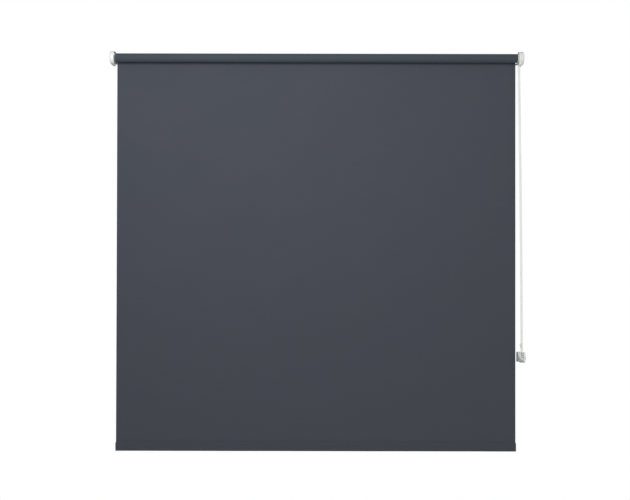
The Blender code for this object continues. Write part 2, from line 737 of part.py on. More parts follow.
def bar_section(thickness, height):
    """A flat upright section with rounded corners, centred in the hem."""
    corner = min(BAR_CORNER, thickness / 2 * 0.9)
    low = (HEM_Y - thickness / 2, HEM_Z - height / 2)
    high = (HEM_Y + thickness / 2, HEM_Z + height / 2)
    return rounded_rectangle(low, high, [corner] * 4)


# --- chain -----------------------------------------------------------------------


def chain_directions():
    """The strand's way down in the YZ plane, and the way from it to the room side."""
    down = Vector((0, CHAIN_SHIFT_Y, -CHAIN_DROP)).normalized()
    front = Vector((0, down.z, -down.y))
    return down, front


def chain_route():
    """The closed loop over the sprocket and under the wheel, from the room-side strand down."""
    down, front = chain_directions()
    top = Vector((SPROCKET_PLANE, 0, 0))
    foot = Vector((WHEEL_X, CHAIN_SHIFT_Y, -CHAIN_DROP))
    strand_steps = 18
    arc_steps = 13
    points = []
    for step in range(strand_steps):
        points.append(top.lerp(foot, step / strand_steps) + front * PITCH_RADIUS)
    for step in range(arc_steps):
        angle = math.pi * step / arc_steps
        points.append(foot + (front * math.cos(angle) + down * math.sin(angle)) * PITCH_RADIUS)
    for step in range(strand_steps):
        points.append(foot.lerp(top, step / strand_steps) - front * PITCH_RADIUS)
    for step in range(arc_steps):
        angle = math.pi * step / arc_steps
        points.append(top - (front * math.cos(angle) + down * math.sin(angle)) * PITCH_RADIUS)
    return points


def chain(wall_axis):
    wire("bead_chain", wall_axis, WHITE_PLASTIC, chain_route(), BEAD_RADIUS, cyclic=True)

    inner = BEAD_RADIUS + CHAIN_CLEARANCE
    outer = inner + CONNECTOR_WALL
    half = CONNECTOR_LENGTH / 2
    waist = outer - CONNECTOR_WALL / 2
    sleeve = [
        (-half, inner),
        (-half, outer),
        (-half / 3, outer),
        (0, waist),
        (half / 3, outer),
        (half, outer),
        (half, inner),
    ]
    made = piece(
        "chain_connector", wall_axis, NATURAL_PLASTIC, lambda bm: add_turned(bm, sleeve, SMALL_ROUND)
    )
    top = Vector((SPROCKET_PLANE, 0, 0))
    foot = Vector((WHEEL_X, CHAIN_SHIFT_Y, -CHAIN_DROP))
    front = chain_directions()[1]
    made.location = top.lerp(foot, CONNECTOR_DROP / CHAIN_DROP) - front * PITCH_RADIUS
    made.rotation_euler = (top - foot).to_track_quat("X", "Z").to_euler()


# --- tensioner -------------------------------------------------------------------


def tensioner(wheel_axis):
    """A body that slides onto a clip on the wall, a wheel in it and a cover beside it."""
    wall = WHEEL_TO_WALL
    body_back = wall - CLIP_PLATE - FIT
    skin_in = CHAIN_OUTER + BODY_CHAIN_ROOM
    body_front = -skin_in - BODY_SKIN
    outline = rounded_rectangle(
        (body_front, -BODY_BELOW),
        (body_back, BODY_ABOVE),
        (BODY_CORNER, BODY_BACK_CORNER, BODY_BACK_CORNER, BODY_CORNER),
    )
    slot = SLOT / 2
    body_left = -slot - BODY_CHEEK
    made = piece("tensioner_body", wheel_axis, GREY_PLASTIC, lambda bm: add_prism(bm, outline, body_left, -slot))

    spine_low = (-slot - BODY_ROOT, skin_in, -BODY_BELOW + SPINE_SHORT)
    spine_high = (slot - FIT, body_back, BODY_ABOVE - SPINE_SHORT)
    join(made, lambda bm: add_box(bm, spine_low, spine_high))
    lip_low = (-slot - BODY_ROOT, body_front, -BODY_BELOW + BODY_CORNER)
    lip_high = (slot - FIT, body_front + BODY_SKIN, BODY_LIP_ABOVE)
    join(made, lambda bm: add_box(bm, lip_low, lip_high))

    rail_middle = -slot - RAIL_INSET
    head = wall - CLIP_PLATE
    slot_outline = rail_outline(rail_middle, head + FIT, FIT)
    cut(made, lambda bm: add_prism(bm, slot_outline, -BODY_BELOW - FIT, RAIL_TOP + FIT, "Z"))
    axle_hole = circle(AXLE_RADIUS + FIT, SMALL_ROUND)
    axle_end = body_left + AXLE_SEAT
    cut(made, lambda bm: add_prism(bm, axle_hole, axle_end - FIT, -slot + FIT))

    cover_end = slot + TENSIONER_COVER
    made = piece("tensioner_cover", wheel_axis, WHITE_PLASTIC, lambda bm: add_prism(bm, outline, slot, cover_end))
    boss = circle(BOSS_RADIUS, ROUND)
    boss_end = cover_end + BOSS
    join(made, lambda bm: add_prism(bm, boss, cover_end - BOSS_ROOT, boss_end))
    head_room = circle(AXLE_HEAD_RADIUS + FIT, ROUND)
    head_start = boss_end - AXLE_HEAD
    cut(made, lambda bm: add_prism(bm, axle_hole, slot - FIT, boss_end + FIT))
    cut(made, lambda bm: add_prism(bm, head_room, head_start - FIT, boss_end + FIT))

    axle = [
        (axle_end, 0),
        (axle_end, AXLE_RADIUS),
        (head_start, AXLE_RADIUS),
        (head_start, AXLE_HEAD_RADIUS),
        (boss_end, AXLE_HEAD_RADIUS),
        (boss_end, 0),
    ]
    piece("tensioner_axle", wheel_axis, STEEL, lambda bm: add_turned(bm, axle, SMALL_ROUND))

    half = WHEEL_WIDTH / 2
    hollow = BEAD_RADIUS + CHAIN_CLEARANCE
    profile = [(half, AXLE_RADIUS + FIT), (-half, AXLE_RADIUS + FIT)]
    for step in range(2 * WHEEL_STEPS + 1):
        x = half * (step / WHEEL_STEPS - 1)
        profile.append((x, PITCH_RADIUS - math.sqrt(hollow**2 - x**2)))
    piece("tensioner_wheel", wheel_axis, NATURAL_PLASTIC, lambda bm: add_turned(bm, profile, ROUND))

    plate_left = rail_middle - CLIP_PLATE_WIDTH / 2
    low = (plate_left, head, -CLIP_PLATE_BELOW)
    high = (plate_left + CLIP_PLATE_WIDTH, wall, CLIP_PLATE_ABOVE)
    made = piece("tensioner_clip", wheel_axis, NATURAL_PLASTIC, lambda bm: add_box(bm, low, high))
    rail = rail_outline(rail_middle, head + CLIP_PLATE / 2, 0)
    join(made, lambda bm: add_prism(bm, rail, RAIL_FOOT, RAIL_TOP, "Z"))

    def screw_holes(bm):
        for height in (
            (RAIL_TOP + CLIP_PLATE_ABOVE) / 2,
            (RAIL_FOOT - CLIP_PLATE_BELOW) / 2,
        ):
            add_hole(bm, rail_middle, height, SCREW_HOLE_RADIUS, head - CLIP_PLATE / 2, wall + CLIP_PLATE)

    cut(made, screw_holes)


def rail_outline(middle, back, clearance):
    """A T seen from above: a neck from y = back towards the room, then a wider head."""
    neck = RAIL_NECK_WIDTH / 2 + clearance
    wide = RAIL_HEAD_WIDTH / 2 + clearance
    face = WHEEL_TO_WALL - CLIP_PLATE
    step = face - RAIL_STEP + clearance
    front = face - 2 * RAIL_STEP - clearance
    return [
        (middle - neck, back),
        (middle - neck, step),
        (middle - wide, step),
        (middle - wide, front),
        (middle + wide, front),
        (middle + wide, step),
        (middle + neck, step),
        (middle + neck, back),
    ]


# --- assembly --------------------------------------------------------------------


def main():
    for old in list(bpy.data.objects):
        bpy.data.objects.remove(old)

    axis_place = (0, -AXIS_TO_WALL, 0)
    wall_axis = empty("fixed_to_wall", axis_place)
    roller_axis = empty("roller_axis", axis_place)
    sprocket_axis = empty("sprocket_axis", axis_place)
    rail = empty("rail_guide", axis_place)
    wheel_axis = empty("wheel_axis", (WHEEL_X, -WHEEL_TO_WALL, -CHAIN_DROP))

    idle_end(wall_axis, roller_axis)
    roller(roller_axis)
    clutch(wall_axis, roller_axis, sprocket_axis)
    lower_part(rail)
    chain(wall_axis)
    tensioner(wheel_axis)


main()
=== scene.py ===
"""Looks for a roller blind: cloth, chain, brackets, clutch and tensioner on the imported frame."""

import math

import bmesh
import bpy
import numpy as np
from mathutils import Matrix, Vector


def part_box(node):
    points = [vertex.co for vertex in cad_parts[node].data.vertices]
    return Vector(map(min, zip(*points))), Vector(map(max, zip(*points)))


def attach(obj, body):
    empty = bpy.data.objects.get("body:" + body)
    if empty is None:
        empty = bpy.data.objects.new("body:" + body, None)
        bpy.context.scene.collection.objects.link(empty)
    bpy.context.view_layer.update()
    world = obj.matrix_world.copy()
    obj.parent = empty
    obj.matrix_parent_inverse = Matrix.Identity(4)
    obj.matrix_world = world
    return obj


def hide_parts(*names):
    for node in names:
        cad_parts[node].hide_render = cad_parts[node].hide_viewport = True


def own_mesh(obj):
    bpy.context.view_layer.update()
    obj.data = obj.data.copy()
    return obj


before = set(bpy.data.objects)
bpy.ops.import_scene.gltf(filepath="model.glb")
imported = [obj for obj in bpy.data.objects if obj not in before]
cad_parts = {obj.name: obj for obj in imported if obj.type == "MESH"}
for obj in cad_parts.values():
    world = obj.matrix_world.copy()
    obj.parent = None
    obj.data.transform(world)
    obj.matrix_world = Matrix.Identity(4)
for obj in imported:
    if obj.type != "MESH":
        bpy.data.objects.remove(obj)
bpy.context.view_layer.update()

MM = 0.001
FIT = 0.3 * MM  # between neighbouring pieces
LAP = 0.3 * MM  # how far a joined or cutting shape reaches past a face


# --- places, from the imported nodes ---

ROLL_LOW, ROLL_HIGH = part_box("fabric_roll")
SHEET_LOW, SHEET_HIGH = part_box("fabric_sheet")
HEM_LOW, HEM_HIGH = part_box("hem_pocket")
TUBE_LOW, TUBE_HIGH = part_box("roller_tube")
WHEEL_LOW, WHEEL_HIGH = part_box("tensioner_wheel")
SPROCKET_LOW, SPROCKET_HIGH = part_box("sprocket")
GUARD_LOW, GUARD_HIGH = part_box("chain_guard")
CHAIN_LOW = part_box("bead_chain")[0]

AXIS_Y = (ROLL_LOW.y + ROLL_HIGH.y) / 2
AXIS_Z = (ROLL_LOW.z + ROLL_HIGH.z) / 2
HALF_WIDTH = ROLL_HIGH.x
ROLL_RADIUS = (ROLL_HIGH.z - ROLL_LOW.z) / 2
TUBE_RADIUS = (TUBE_HIGH.y - TUBE_LOW.y) / 2
CLOTH = SHEET_HIGH.y - SHEET_LOW.y
CLOTH_Y = (SHEET_LOW.y + SHEET_HIGH.y) / 2
HEM_TOP = HEM_HIGH.z
HEM_FOOT = HEM_LOW.z
HEM_HALF = (HEM_HIGH.y - HEM_LOW.y) / 2


# --- outlines ---


def arc(centre, radius, start, end, steps):
    """Points on an arc between two angles in degrees, both ends included."""
    angles = np.radians(np.linspace(start, end, steps + 1))
    return [(centre[0] + radius * math.cos(a), centre[1] + radius * math.sin(a)) for a in angles]


def circle(radius, sides, centre=(0, 0)):
    return arc(centre, radius, 0, 360 - 360 / sides, sides - 1)


def rectangle(left, foot, right, top):
    return [(left, foot), (right, foot), (right, top), (left, top)]


def rounded(outline, radius, steps=3, flat=20):
    """A closed outline whose corners are rounded where it turns by more than flat degrees."""
    made = []
    count = len(outline)
    for index in range(count):
        before, corner, after = (Vector(outline[(index + step) % count]) for step in (-1, 0, 1))
        back, ahead = before - corner, after - corner
        if back.length < 1e-9 or ahead.length < 1e-9:
            continue
        turn = math.pi - back.angle(ahead)
        if turn < math.radians(flat):
            made.append(tuple(corner))
            continue
        reach = min(radius * math.tan(turn / 2), back.length * 0.45, ahead.length * 0.45)
        start = corner + back.normalized() * reach
        end = corner + ahead.normalized() * reach
        for step in range(steps + 1):
            t = step / steps
            made.append(tuple(start * (1 - t) ** 2 + corner * (2 * t * (1 - t)) + end * t * t))
    return made


# --- meshes ---


def bridge(bm, rings):
    """Faces between neighbouring rings of equal length."""
    for ring, following in zip(rings, rings[1:]):
        for index, vert in enumerate(ring):
            after = (index + 1) % len(ring)
            corners = list(dict.fromkeys([vert, ring[after], following[after], following[index]]))
            if len(corners) > 2:
                bm.faces.new(corners)


def bridge_closed(bm, rings):
    """Faces between the rings and across the first and the last."""
    bridge(bm, rings)
    bm.faces.new(rings[0])
    bm.faces.new(rings[-1])


def add_loft(bm, sections, centre=(AXIS_Y, AXIS_Z)):
    """Outlines in the YZ plane, set at distances along X, joined in order and closed."""
    rings = []
    for x, outline in sections:
        rings.append([bm.verts.new((x, centre[0] + u, centre[1] + v)) for u, v in outline])
    bridge_closed(bm, rings)


def rounded_end(face, side, edge, steps, outline):
    """Sections that round over towards a face at +X or -X; outline(inset) gives each outline."""
    sections = []
    for step in range(steps + 1):
        turn = math.pi / 2 * step / steps
        along = face - side * edge * (1 - math.sin(turn))
        sections.append((along, outline(edge * (1 - math.cos(turn)))))
    return sections


def add_prism(bm, outline, start, end, centre=(AXIS_Y, AXIS_Z)):
    add_loft(bm, [(start, outline), (end, outline)], centre)


def add_upright(bm, outline, low, high):
    """A prism along Z, from an outline of (x, y) points."""
    bridge_closed(bm, [[bm.verts.new((x, y, z)) for x, y in outline] for z in (low, high)])


def add_deep(bm, outline, near, far):
    """A prism along Y, from an outline of (x, z) points."""
    bridge_closed(bm, [[bm.verts.new((x, y, z)) for x, z in outline] for y in (near, far)])


def add_turned(bm, profile, sides=64, centre=(AXIS_Y, AXIS_Z)):
    """A shape turned about a line along X, from a closed outline of (x, radius) points."""
    rings = []
    for x, radius in [*profile, profile[0]]:
        if radius < 1e-7:
            rings.append([bm.verts.new((x, *centre))] * sides)
        else:
            rings.append([bm.verts.new((x, u, v)) for u, v in circle(radius, sides, centre)])
    bridge(bm, rings)
    bmesh.ops.remove_doubles(bm, verts=[v for v in bm.verts if v.is_valid], dist=1e-7)
    bmesh.ops.delete(bm, geom=[v for v in bm.verts if not v.link_faces], context="VERTS")


def add_box(bm, low, high):
    made = bmesh.ops.create_cube(bm, size=1)["verts"]
    low, high = Vector(low), Vector(high)
    for vert in made:
        vert.co = [low[i] + (vert.co[i] + 0.5) * (high[i] - low[i]) for i in range(3)]


def add_rod(bm, start, end, radius, sides=24):
    """A cylinder between two points."""
    start, end = Vector(start), Vector(end)
    turn = (end - start).to_track_quat("Z", "Y").to_matrix().to_4x4()
    place = Matrix.Translation((start + end) / 2) @ turn
    depth = (end - start).length
    bmesh.ops.create_cone(
        bm, cap_ends=True, segments=sides, radius1=radius, radius2=radius, depth=depth, matrix=place
    )


def mesh_object(name, build):
    bm = bmesh.new()
    build(bm)
    bmesh.ops.recalc_face_normals(bm, faces=bm.faces)
    mesh = bpy.data.meshes.new(name)
    bm.to_mesh(mesh)
    bm.free()
    made = bpy.data.objects.new(name, mesh)
    bpy.context.scene.collection.objects.link(made)
    return made


def bake_modifiers(made):
    """Replaces an object's mesh by what its modifiers make of it."""
    bpy.context.view_layer.update()
    seen = made.evaluated_get(bpy.context.evaluated_depsgraph_get())
    mesh = bpy.data.meshes.new_from_object(seen)
    made.modifiers.clear()
    made.data = mesh


def combine(made, operation, build):
    """Joins a shape to an object or cuts it away."""
    operand = mesh_object("operand", build)
    boolean = made.modifiers.new("shape", "BOOLEAN")
    boolean.operation = operation
    boolean.solver = "EXACT"
    boolean.object = operand
    bake_modifiers(made)
    bpy.data.objects.remove(operand)


def join(made, *shapes):
    for build in shapes:
        combine(made, "UNION", build)


def cut(made, *shapes):
    for build in shapes:
        combine(made, "DIFFERENCE", build)


def soften(made, bevel, angle=35):
    """Rounds the edges and smooths the shading between them."""
    if bevel:
        rounding = made.modifiers.new("rounding", "BEVEL")
        rounding.width = bevel
        rounding.segments = 2
        rounding.limit_method = "ANGLE"
        rounding.angle_limit = math.radians(angle)
        rounding.miter_outer = "MITER_ARC"
        bake_modifiers(made)
    made.data.shade_smooth()
    made.data.set_sharp_from_angle(angle=math.radians(angle + 5))
    weighted = made.modifiers.new("normals", "WEIGHTED_NORMAL")
    weighted.keep_sharp = True
    weighted.weight = 80
    bake_modifiers(made)


def dress(made, look, body, slot, *nodes):
    """Gives a piece its look, ties it to its body, and hides the nodes that it stands for."""
    made.data.materials.clear()
    made.data.materials.append(look)
    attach(made, body)
    if nodes:
        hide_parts(*nodes)
    return made


# --- materials ---


class Nodes:
    """Short ways to add shader nodes to one material."""

    def __init__(self, name):
        self.material = bpy.data.materials.new(name)
        self.material.use_nodes = True
        self.tree = self.material.node_tree
        self.shader = self.tree.nodes["Principled BSDF"]

    def add(self, kind, **settings):
        node = self.tree.nodes.new(kind)
        for key, value in settings.items():
            if key in node.inputs:
                self.put(value, node.inputs[key])
            else:
                setattr(node, key, value)
        return node

    def put(self, value, socket):
        if isinstance(value, bpy.types.NodeSocket):
            self.tree.links.new(value, socket)
        else:
            socket.default_value = value

    def math(self, operation, *values):
        node = self.tree.nodes.new("ShaderNodeMath")
        node.operation = operation
        for socket, value in zip(node.inputs, values):
            self.put(value, socket)
        return node.outputs[0]

    def noise(self, scale, detail=3.0, roughness=0.5, vector=None):
        node = self.add("ShaderNodeTexNoise", Scale=scale, Detail=detail, Roughness=roughness)
        self.put(vector or self.place(), node.inputs["Vector"])
        return node.outputs["Fac"]

    def place(self):
        return self.add("ShaderNodeTexCoord").outputs["Object"]

    def stretch(self, factors):
        """Coordinates scaled along each axis, to draw a pattern out."""
        node = self.add("ShaderNodeMapping")
        node.inputs["Scale"].default_value = factors
        self.put(self.place(), node.inputs["Vector"])
        return node.outputs["Vector"]

    def between(self, factor, low, high):
        """A value from low to high as the factor goes from 0.3 to 0.7."""
        node = self.add("ShaderNodeMapRange")
        self.put(factor, node.inputs["Value"])
        node.inputs["From Min"].default_value = 0.3
        node.inputs["From Max"].default_value = 0.7
        node.inputs["To Min"].default_value = low
        node.inputs["To Max"].default_value = high
        return node.outputs[0]

    def mix(self, factor, low, high):
        node = self.add("ShaderNodeMix", data_type="RGBA")
        self.put(factor, node.inputs["Factor"])
        colours = [socket for socket in node.inputs if socket.type == "RGBA"]
        self.put(low, colours[0])
        self.put(high, colours[1])
        return next(socket for socket in node.outputs if socket.type == "RGBA")

    def bump(self, height, strength, distance):
        node = self.add("ShaderNodeBump", Strength=strength, Distance=distance)
        self.put(height, node.inputs["Height"])
        self.put(node.outputs[0], self.shader.inputs["Normal"])


def shade(colour, factor):
    return (*[c * factor for c in colour], 1.0)


def plastic(name, colour, roughness, grain=0.02, mottling=0.04):
    """Moulded plastic: faint clouding, a fine grain, and handling marks in its gloss."""
    n = Nodes(name)
    clouds = n.between(n.noise(55, 4), 0, 1)
    clouded = n.mix(clouds, shade(colour, 1 - mottling), shade(colour, 1 + mottling))
    n.put(clouded, n.shader.inputs["Base Color"])
    marks = n.between(n.noise(240, 5, 0.65), roughness - 0.06, roughness + 0.08)
    n.put(marks, n.shader.inputs["Roughness"])
    n.shader.inputs["IOR"].default_value = 1.47
    n.bump(n.noise(2600, 2), grain, 0.05 * MM)
    return n.material


def metal(name, colour, roughness, streak):
    """Drawn or turned metal, with fine lines; streak squeezes them along each axis."""
    n = Nodes(name)
    lines = n.between(n.noise(900, 3, 0.6, n.stretch(streak)), 0, 1)
    stains = n.between(n.noise(70, 4), 0, 1)
    lined = n.mix(lines, shade(colour, 0.9), shade(colour, 1.04))
    n.put(n.mix(stains, lined, shade(colour, 0.94)), n.shader.inputs["Base Color"])
    n.put(n.between(lines, roughness - 0.05, roughness + 0.1), n.shader.inputs["Roughness"])
    n.shader.inputs["Metallic"].default_value = 1.0
    n.bump(lines, 0.15, 0.02 * MM)
    return n.material


def painted(name, colour):
    """Powder-coated steel, with orange peel and slightly duller patches."""
    n = Nodes(name)
    clouds = n.between(n.noise(40, 4), 0, 1)
    n.put(n.mix(clouds, shade(colour, 0.95), shade(colour, 1.03)), n.shader.inputs["Base Color"])
    n.put(n.between(n.noise(160, 3), 0.36, 0.52), n.shader.inputs["Roughness"])
    n.bump(n.noise(900, 2), 0.12, 0.08 * MM)
    return n.material


THREAD = 0.5 * MM


def cloth(name, colour):
    """A plain weave, read from the cloth's own coordinates: across, and along its length."""
    n = Nodes(name)
    own = n.add("ShaderNodeAttribute", attribute_name="weave").outputs["Vector"]
    split = n.add("ShaderNodeSeparateXYZ")
    n.put(own, split.inputs[0])
    across = n.math("MULTIPLY", split.outputs[0], math.pi / THREAD)
    along = n.math("MULTIPLY", split.outputs[1], math.pi / THREAD)
    warp = n.math("SINE", across)
    weft = n.math("SINE", along)
    over = n.math("GREATER_THAN", n.math("MULTIPLY", warp, weft), 0.0)
    height = n.math(
        "ADD",
        n.math("MULTIPLY", n.math("ABSOLUTE", warp), over),
        n.math("MULTIPLY", n.math("ABSOLUTE", weft), n.math("SUBTRACT", 1.0, over)),
    )
    drawn = n.add("ShaderNodeMapping")
    n.put(own, drawn.inputs["Vector"])
    drawn.inputs["Scale"].default_value = (3, 160, 1)
    slubs = n.between(n.noise(4, 4, 0.6, drawn.outputs[0]), 0, 1)
    clouds = n.between(n.noise(5, 4, 0.55, own), 0, 1)
    base = n.mix(clouds, shade(colour, 0.93), shade(colour, 1.06))
    threads = n.mix(n.math("MULTIPLY", slubs, 0.5), base, shade(colour, 1.16))
    # Low places of the weave, between the threads, are darkened: painted shade in the weave's hollows.
    weave_hollow_shade = n.mix(n.math("MULTIPLY", n.math("SUBTRACT", 1.0, height), 0.35), threads, shade(colour, 0.62))
    n.put(weave_hollow_shade, n.shader.inputs["Base Color"])
    n.put(n.between(clouds, 0.78, 0.9), n.shader.inputs["Roughness"])
    n.shader.inputs["Sheen Weight"].default_value = 0.12
    n.shader.inputs["Sheen Roughness"].default_value = 0.5
    n.shader.inputs["Specular IOR Level"].default_value = 0.25
    n.bump(height, 0.35, 0.06 * MM)
    return n.material


CLOTH_COLOUR = (0.056, 0.063, 0.080)
BLIND_CLOTH = cloth("blind_cloth", CLOTH_COLOUR)
# The hem is the same cloth painted 7% darker: painted shade over the bar's pocket.
HEM_CLOTH_PAINTED_SHADE = cloth("hem_cloth_painted_shade", tuple(c * 0.93 for c in CLOTH_COLOUR))
ROLL_CLOTH = cloth("roll_cloth", (0.049, 0.065, 0.083))
WHITE = plastic("white_plastic_moulded", (0.82, 0.83, 0.81), 0.36)
CHAIN_WHITE = plastic("chain_plastic", (0.92, 0.92, 0.91), 0.3, grain=0.01, mottling=0.02)
GREY = plastic("grey_plastic_moulded", (0.36, 0.40, 0.39), 0.36, grain=0.03)
DARK = plastic("dark_plastic_moulded", (0.030, 0.036, 0.038), 0.42, grain=0.05, mottling=0.15)
PLUG_GREY = plastic("plug_plastic_moulded", (0.13, 0.14, 0.14), 0.34, grain=0.04, mottling=0.1)
NATURAL = plastic("natural_plastic_moulded", (0.60, 0.60, 0.56), 0.34)
CLEAR = plastic("clear_plastic_moulded", (0.80, 0.80, 0.77), 0.2, grain=0.01, mottling=0.02)
# The tensioner's sloped facet: a lighter, glossier copy of the grey plastic, a painted highlight where light
# falls on the upturned face.
FACET_PAINTED_HIGHLIGHT = plastic("grey_plastic_painted_highlight", (0.66, 0.70, 0.69), 0.22, grain=0.02)
STEEL = metal("bright_steel", (0.58, 0.59, 0.60), 0.28, (1, 12, 12))
BAR_ALUMINIUM = metal("drawn_aluminium", (0.74, 0.75, 0.76), 0.36, (0.05, 6, 6))
PAINTED = painted("painted_steel", (0.78, 0.79, 0.78))


# --- camera ---

CAMERA_DISTANCE = 3.16  # to the hanging cloth
CAMERA_X = -3.1 * MM
CAMERA_Z = -609 * MM
CAMERA_PITCH = math.radians(0.6)  # looks up a little
CAMERA_ROLL = math.radians(-0.11)

lens = bpy.data.cameras.new("camera")
lens.lens = 60
lens.sensor_width = 36
lens.clip_end = 50
camera = bpy.data.objects.new("camera", lens)
camera.location = (CAMERA_X, CLOTH_Y - CAMERA_DISTANCE, CAMERA_Z)
camera.rotation_euler = (math.pi / 2 + CAMERA_PITCH, CAMERA_ROLL, 0)
bpy.context.scene.collection.objects.link(camera)
bpy.context.scene.camera = camera


# --- bead chain ---

BEAD_PITCH = 6.0 * MM
BEADS_PER_TURN = 10
BEADS_IN_LOOP = 310
BEAD_RADIUS = 2.25 * MM
CORD_RADIUS = 0.6 * MM
CORD_BOW = 1.2 * MM  # slack of each strand, away from the cloth

PITCH_RADIUS = BEAD_PITCH * BEADS_PER_TURN / math.tau
STRAND = (BEADS_IN_LOOP - BEADS_PER_TURN) * BEAD_PITCH / 2
HALF_TURN = math.pi * PITCH_RADIUS
SPROCKET_PLANE = CHAIN_LOW.x + BEAD_RADIUS
CHAIN_TOP = Vector((SPROCKET_PLANE, AXIS_Y, AXIS_Z))
CHAIN_FOOT = (WHEEL_LOW + WHEEL_HIGH) / 2
CHAIN_DOWN = Vector((0, CHAIN_FOOT.y - CHAIN_TOP.y, CHAIN_FOOT.z - CHAIN_TOP.z)).normalized()
CHAIN_FRONT = Vector((0, CHAIN_DOWN.z, -CHAIN_DOWN.y))


def loop_point(distance):
    """A point on the chain's loop, from where it leaves the sprocket on the room side."""
    distance %= 2 * (STRAND + HALF_TURN)
    if distance < STRAND:
        share = distance / STRAND
        return strand_point(share, 1)
    distance -= STRAND
    if distance < HALF_TURN:
        return CHAIN_FOOT + around(distance) * PITCH_RADIUS
    distance -= HALF_TURN
    if distance < STRAND:
        return strand_point(1 - distance / STRAND, -1)
    return CHAIN_TOP - around(distance - STRAND) * PITCH_RADIUS


def strand_point(share, side):
    straight = CHAIN_TOP.lerp(CHAIN_FOOT, share) + CHAIN_FRONT * (side * PITCH_RADIUS)
    return straight + Vector((CORD_BOW * math.sin(math.pi * share), 0, 0))


def around(distance):
    angle = distance / PITCH_RADIUS
    return CHAIN_FRONT * math.cos(angle) + CHAIN_DOWN * math.sin(angle)


def add_copies(verts, faces, build, places):
    """Adds a small shape at each of the places to lists of vertices and faces."""
    bm = bmesh.new()
    build(bm)
    corners = np.array([vert.co for vert in bm.verts])
    outlines = [[vert.index for vert in face.verts] for face in bm.faces]
    bm.free()
    for place in places:
        first = len(verts)
        verts.extend(corners @ np.array(place.to_3x3()).T + np.array(place.translation))
        faces.extend([[first + index for index in outline] for outline in outlines])


def pointing(start, end, at):
    """A place at a point, with its Z axis along the way from start to end."""
    return Matrix.Translation(at) @ (end - start).to_track_quat("Z", "X").to_matrix().to_4x4()


def build_chain():
    """Round beads moulded on one continuous cord."""
    seats = [loop_point(index * BEAD_PITCH) for index in range(BEADS_IN_LOOP)]
    following = seats[1:] + seats[:1]
    beads = [pointing(seats[i - 1], following[i], seats[i]) for i in range(BEADS_IN_LOOP)]
    cords = [pointing(start, end, (start + end) / 2) for start, end in zip(seats, following)]
    half_cord = BEAD_PITCH / 2 - BEAD_RADIUS * 0.9

    def bead(bm):
        bmesh.ops.create_uvsphere(bm, u_segments=16, v_segments=10, radius=BEAD_RADIUS)

    def cord(bm):
        add_rod(bm, (0, 0, -half_cord), (0, 0, half_cord), CORD_RADIUS, sides=8)

    verts, faces = [], []
    add_copies(verts, faces, bead, beads)
    add_copies(verts, faces, cord, cords)
    mesh = bpy.data.meshes.new("bead_chain_visual")
    mesh.from_pydata(verts, [], faces)
    mesh.shade_smooth()
    mesh.set_sharp_from_angle(angle=math.radians(50))
    made = bpy.data.objects.new("bead_chain_visual", mesh)
    bpy.context.scene.collection.objects.link(made)
    return dress(made, CHAIN_WHITE, "frame", "white_plastic", "bead_chain")


chain = build_chain()
CHAIN_PATH = [loop_point(index * BEAD_PITCH) for index in range(BEADS_IN_LOOP + 1)]

CONNECTOR_LENGTH = 12 * MM
CONNECTOR_RADIUS = 3.45 * MM
CONNECTOR_WAIST = 2.95 * MM
CONNECTOR_BORE = 2.78 * MM
CONNECTOR_LIP = 0.35 * MM


def build_connector(bm):
    """A sleeve over two beads, drawn in between them."""
    half = CONNECTOR_LENGTH / 2
    outside = []
    for step in range(25):
        x = -half + CONNECTOR_LENGTH * step / 24
        swell = 0.5 - 0.5 * math.cos(math.tau * x / half)
        outside.append((x, CONNECTOR_WAIST + (CONNECTOR_RADIUS - CONNECTOR_WAIST) * swell))
    least = CONNECTOR_WAIST + CONNECTOR_LIP / 2
    outline = [(-half, CONNECTOR_BORE), *[(x, max(r, least)) for x, r in outside], (half, CONNECTOR_BORE)]
    add_turned(bm, rounded(outline, 0.25 * MM), 32, (0, 0))


connector_low, connector_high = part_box("chain_connector")
connector_middle = (connector_low + connector_high) / 2
connector = mesh_object("chain_connector_visual", build_connector)
way_up = (CHAIN_TOP - CHAIN_FOOT).normalized()
turned_up = way_up.to_track_quat("X", "Z").to_matrix().to_4x4()
connector.data.transform(Matrix.Translation(connector_middle) @ turned_up)
soften(connector, 0)
dress(connector, CLEAR, "chain_connector", "natural_plastic", "chain_connector")


# --- cloth ---

WIDE_COLUMNS = 100
EDGE_STEPS = (0, 0.3, 0.8, 1.6, 3.5, 7)  # mm in from each side edge
SEAM_BAND = 3.6 * MM
PINCH = 1.5 * MM  # above the hem's bar, where the two plies meet
HEM_SHOULDER = 1.6 * MM  # from the bar's top down to where the plies run straight
HEM_CORNER = 1.5 * MM
HEM_EASE = 0.5 * MM
HEM_WAVE = 0.10 * MM
EDGE_DRIFT = 0.35 * MM
CLOTH_FIT = 0.03 * MM
SIDE_CURL = 0.9 * MM
CURL_WIDTH = 30 * MM


def column_places(columns):
    inner = [HALF_WIDTH - edge * MM for edge in EDGE_STEPS]
    middle = np.linspace(-inner[-1], inner[-1], columns + 1)[1:-1]
    return [-x for x in inner] + list(middle) + inner[::-1]


